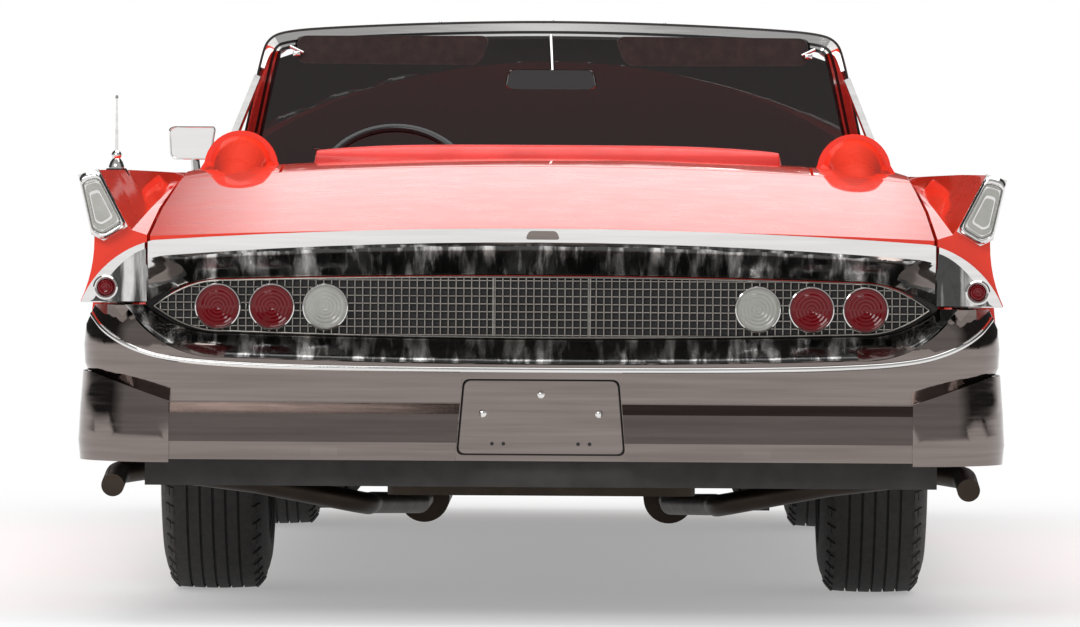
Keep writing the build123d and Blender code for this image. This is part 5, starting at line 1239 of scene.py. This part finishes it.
class Stage(Operator):
    """Pale studio floor, soft light and the camera behind the car"""
    bl_idname = "convertible.stage"
    bl_label = "Stage"

    def execute(self, context):
        stage = props()[2]
        scene = context.scene
        scene.view_settings.view_transform = "Standard"
        bm = bmesh.new()
        bmesh.ops.create_grid(bm, x_segments=1, y_segments=1, size=70.0)
        mesh = bpy.data.meshes.new("studio_floor")
        bm.to_mesh(mesh)
        bm.free()
        floor = bpy.data.objects.new("studio_floor", mesh)
        scene.collection.objects.link(floor)
        mesh.materials.append(self.floor_material(stage))
        self.world(scene, stage)
        self.lamp("top_lamp", (0, -0.6, 5.2), (0, -0.6, 0), 5.4, 7.0, stage.top_power)
        self.lamp("tail_lamp", (-3.0, -9.5, 4.6), (0, -2.5, 0.6), 5.0, 2.4, stage.tail_power)
        camera = bpy.data.objects.new("camera", bpy.data.cameras.new("camera"))
        camera.data.sensor_width = 36
        camera.data.lens = stage.lens
        camera.data.clip_end = 500
        camera.matrix_world = (
            Matrix.Translation(stage.camera_place) @ Matrix.Rotation(stage.yaw, 4, "Z")
            @ Matrix.Rotation(math.pi / 2 - stage.pitch, 4, "X") @ Matrix.Rotation(stage.roll, 4, "Z"))
        scene.collection.objects.link(camera)
        scene.camera = camera
        return {"FINISHED"}

    def lamp(self, name, place, target, width, depth, power):
        """A rectangular lamp that faces a target."""
        data = bpy.data.lights.new(name, "AREA")
        data.shape, data.size, data.size_y, data.energy = "RECTANGLE", width, depth, power
        lamp = bpy.data.objects.new(name, data)
        lamp.location = place
        lamp.rotation_euler = (Vector(target) - Vector(place)).to_track_quat("-Z", "Y").to_euler()
        bpy.context.scene.collection.objects.link(lamp)

    def seen(self, tree):
        """1 for the rays by which camera, metal and glass see the studio."""
        path = tree.nodes.new("ShaderNodeLightPath")
        total = path.outputs["Is Camera Ray"]
        for ray in ("Is Glossy Ray", "Is Transmission Ray"):
            total = combined(tree, "MAXIMUM", total, path.outputs[ray])
        return total

    def floor_material(self, stage):
        """Matt floor that fades into the white backdrop away from the car."""
        material = bpy.data.materials.new("studio_floor")
        material.use_nodes = True
        tree = material.node_tree
        tree.nodes.clear()
        output = tree.nodes.new("ShaderNodeOutputMaterial")
        matt = tree.nodes.new("ShaderNodeBsdfDiffuse")
        matt.inputs["Color"].default_value = (*stage.floor, 1)
        glow = tree.nodes.new("ShaderNodeEmission")
        place = tree.nodes.new("ShaderNodeTexCoord")
        reach = tree.nodes.new("ShaderNodeVectorMath")
        reach.operation = "LENGTH"
        fade = tree.nodes.new("ShaderNodeMapRange")
        fade.interpolation_type = "SMOOTHSTEP"
        fade.inputs["From Min"].default_value = 2.2
        fade.inputs["From Max"].default_value = 4.6
        fade.inputs["To Min"].default_value = 0.35
        mix = tree.nodes.new("ShaderNodeMixShader")
        tree.links.new(place.outputs["Object"], reach.inputs[0])
        tree.links.new(reach.outputs["Value"], fade.inputs["Value"])
        tree.links.new(combined(tree, "MULTIPLY", fade.outputs["Result"], self.seen(tree)), mix.inputs["Fac"])
        tree.links.new(matt.outputs["BSDF"], mix.inputs[1])
        tree.links.new(glow.outputs["Emission"], mix.inputs[2])
        tree.links.new(mix.outputs["Shader"], output.inputs["Surface"])
        return material

    def world(self, scene, stage):
        """Even light from all round. Camera, metal and paint see a studio with a soft box ahead of the car instead."""
        world = bpy.data.worlds.new("studio")
        world.use_nodes = True
        scene.world = world
        tree = world.node_tree
        tree.nodes.clear()
        output = tree.nodes.new("ShaderNodeOutputWorld")
        light = tree.nodes.new("ShaderNodeBackground")
        light.inputs["Strength"].default_value = stage.fill
        shown = tree.nodes.new("ShaderNodeBackground")
        place = tree.nodes.new("ShaderNodeTexCoord")
        split = tree.nodes.new("ShaderNodeSeparateXYZ")
        mix = tree.nodes.new("ShaderNodeMixShader")
        tree.links.new(place.outputs["Generated"], split.inputs["Vector"])
        width = combined(tree, "ABSOLUTE", split.outputs["X"])
        panel = ramp(tree, split.outputs["Z"], 0.0, 1.0, 0.145, 0.165)
        for edge in (ramp(tree, split.outputs["Z"], 1.0, 0.0, 0.275, 0.290),
                     ramp(tree, width, 1.0, 0.0, 0.050, 0.075),
                     ramp(tree, split.outputs["Y"], 0.0, 1.0, 0.0, 0.2)):
            panel = combined(tree, "MULTIPLY", panel, edge)
        panel = combined(tree, "MULTIPLY", panel, stage.soft_box)
        total = combined(tree, "MAXIMUM", panel, ramp(tree, split.outputs["Z"], 1.0, stage.ceiling, 0.015, 0.040))
        behind = tree.nodes.new("ShaderNodeMapRange")
        for key, value in (("From Min", 0.0), ("From Max", -0.4), ("To Max", stage.rear_wall)):
            behind.inputs[key].default_value = value
        tree.links.new(split.outputs["Y"], behind.inputs["Value"])
        total = combined(tree, "MAXIMUM", total, behind.outputs["Result"])
        path = tree.nodes.new("ShaderNodeLightPath")
        total = combined(tree, "MAXIMUM", total, path.outputs["Is Camera Ray"])
        tree.links.new(total, shown.inputs["Color"])
        tree.links.new(self.seen(tree), mix.inputs["Fac"])
        tree.links.new(light.outputs["Background"], mix.inputs[1])
        tree.links.new(shown.outputs["Background"], mix.inputs[2])
        tree.links.new(mix.outputs["Shader"], output.inputs["Surface"])


OPERATORS = (SmoothPanels, VentWindows, TailGrille, TailLamps, TailTrim, Tyres, WheelCovers, Seats, Windshield, Outside,
             Underside, Cabin, Plate, Stage)


class ConvertiblePanel(Panel):
    """Lists the car's sizes, colours and pieces"""
    bl_idname = "VIEW3D_PT_convertible"
    bl_label = "Convertible"
    bl_space_type = "VIEW_3D"
    bl_region_type = "UI"
    bl_category = "Convertible"

    def draw(self, context):
        for group in props():
            box = self.layout.box()
            for name in group.__annotations__:
                box.prop(group, name)
        for operator in OPERATORS:
            self.layout.operator(operator.bl_idname)


GROUPS = (
    ("convertible_finish", ConvertibleFinish),
    ("convertible_sizes", ConvertibleSizes),
    ("convertible_stage", ConvertibleStage),
)


def register():
    """Make the groups, operators and panel known to Blender."""
    for name, group in GROUPS:
        bpy.utils.register_class(group)
        setattr(bpy.types.Scene, name, PointerProperty(type=group))
    for kind in (*OPERATORS, ConvertiblePanel):
        bpy.utils.register_class(kind)


def unregister():
    """Take them away again."""
    for kind in (ConvertiblePanel, *reversed(OPERATORS)):
        bpy.utils.unregister_class(kind)
    for name, group in reversed(GROUPS):
        delattr(bpy.types.Scene, name)
        bpy.utils.unregister_class(group)


def make_finishes():
    """Make the material of every finish from the scene's colours."""
    tint = props()[0]
    enamel("paint", tint.paint, tint.paint_shade)
    plating("chrome", tint.chrome, 0.10)
    # The bumpers' plating: chrome darkened as painted reflection.
    plating("bumper", tint.bumper, 0.18)
    plating("mesh", tint.mesh, 0.25)
    leather("leather", tint.leather)
    woven("cloth", tint.cloth)
    lens("red_lens", tint.red_lens, 0.15)
    lens("clear_lens", tint.clear_lens, 0.25)
    pane("glass", tint.glass)
    pane("clear_glass", tint.clear_glass)
    moulded("rubber", tint.rubber, 0.75, 0.5, 300, 0.0005)
    moulded("seal", tint.rubber, 0.6, 0.3, 200, 0.0003)
    moulded("whitewall", tint.whitewall, 0.6, -0.12, 200, 0.0002)
    moulded("dark_metal", tint.dark_metal, 0.7, 0.6, 90, 0.001)
    # A third of the dark metal, near black: painted shade behind the grilles, under the seats and in the plate recess,
    # and the dark joints on the header.
    moulded("shade", tuple(c / 3 for c in tint.dark_metal), 0.6, 0.4, 120, 0.0004)
    moulded("casting", tint.casting, 0.65, 0.5, 160, 0.0012, 0.4)
    moulded("steel", tint.steel, 0.45, 0.4, 60, 0.0006, 0.9)
    moulded("black", tint.black, 0.22, 0.3, 120, 0.0001)
    # Near-black chrome with pale streaks: painted reflections for the cove.
    painted_cove_reflection("painted_cove_reflection", tint.chrome)
    plating("mirror", tint.chrome, 0.02)


def main():
    """Register the add-on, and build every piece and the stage."""
    register()
    make_finishes()
    for operator in OPERATORS:
        group, name = operator.bl_idname.split(".")
        getattr(getattr(bpy.ops, group), name)()


if __name__ == "__main__":
    main()
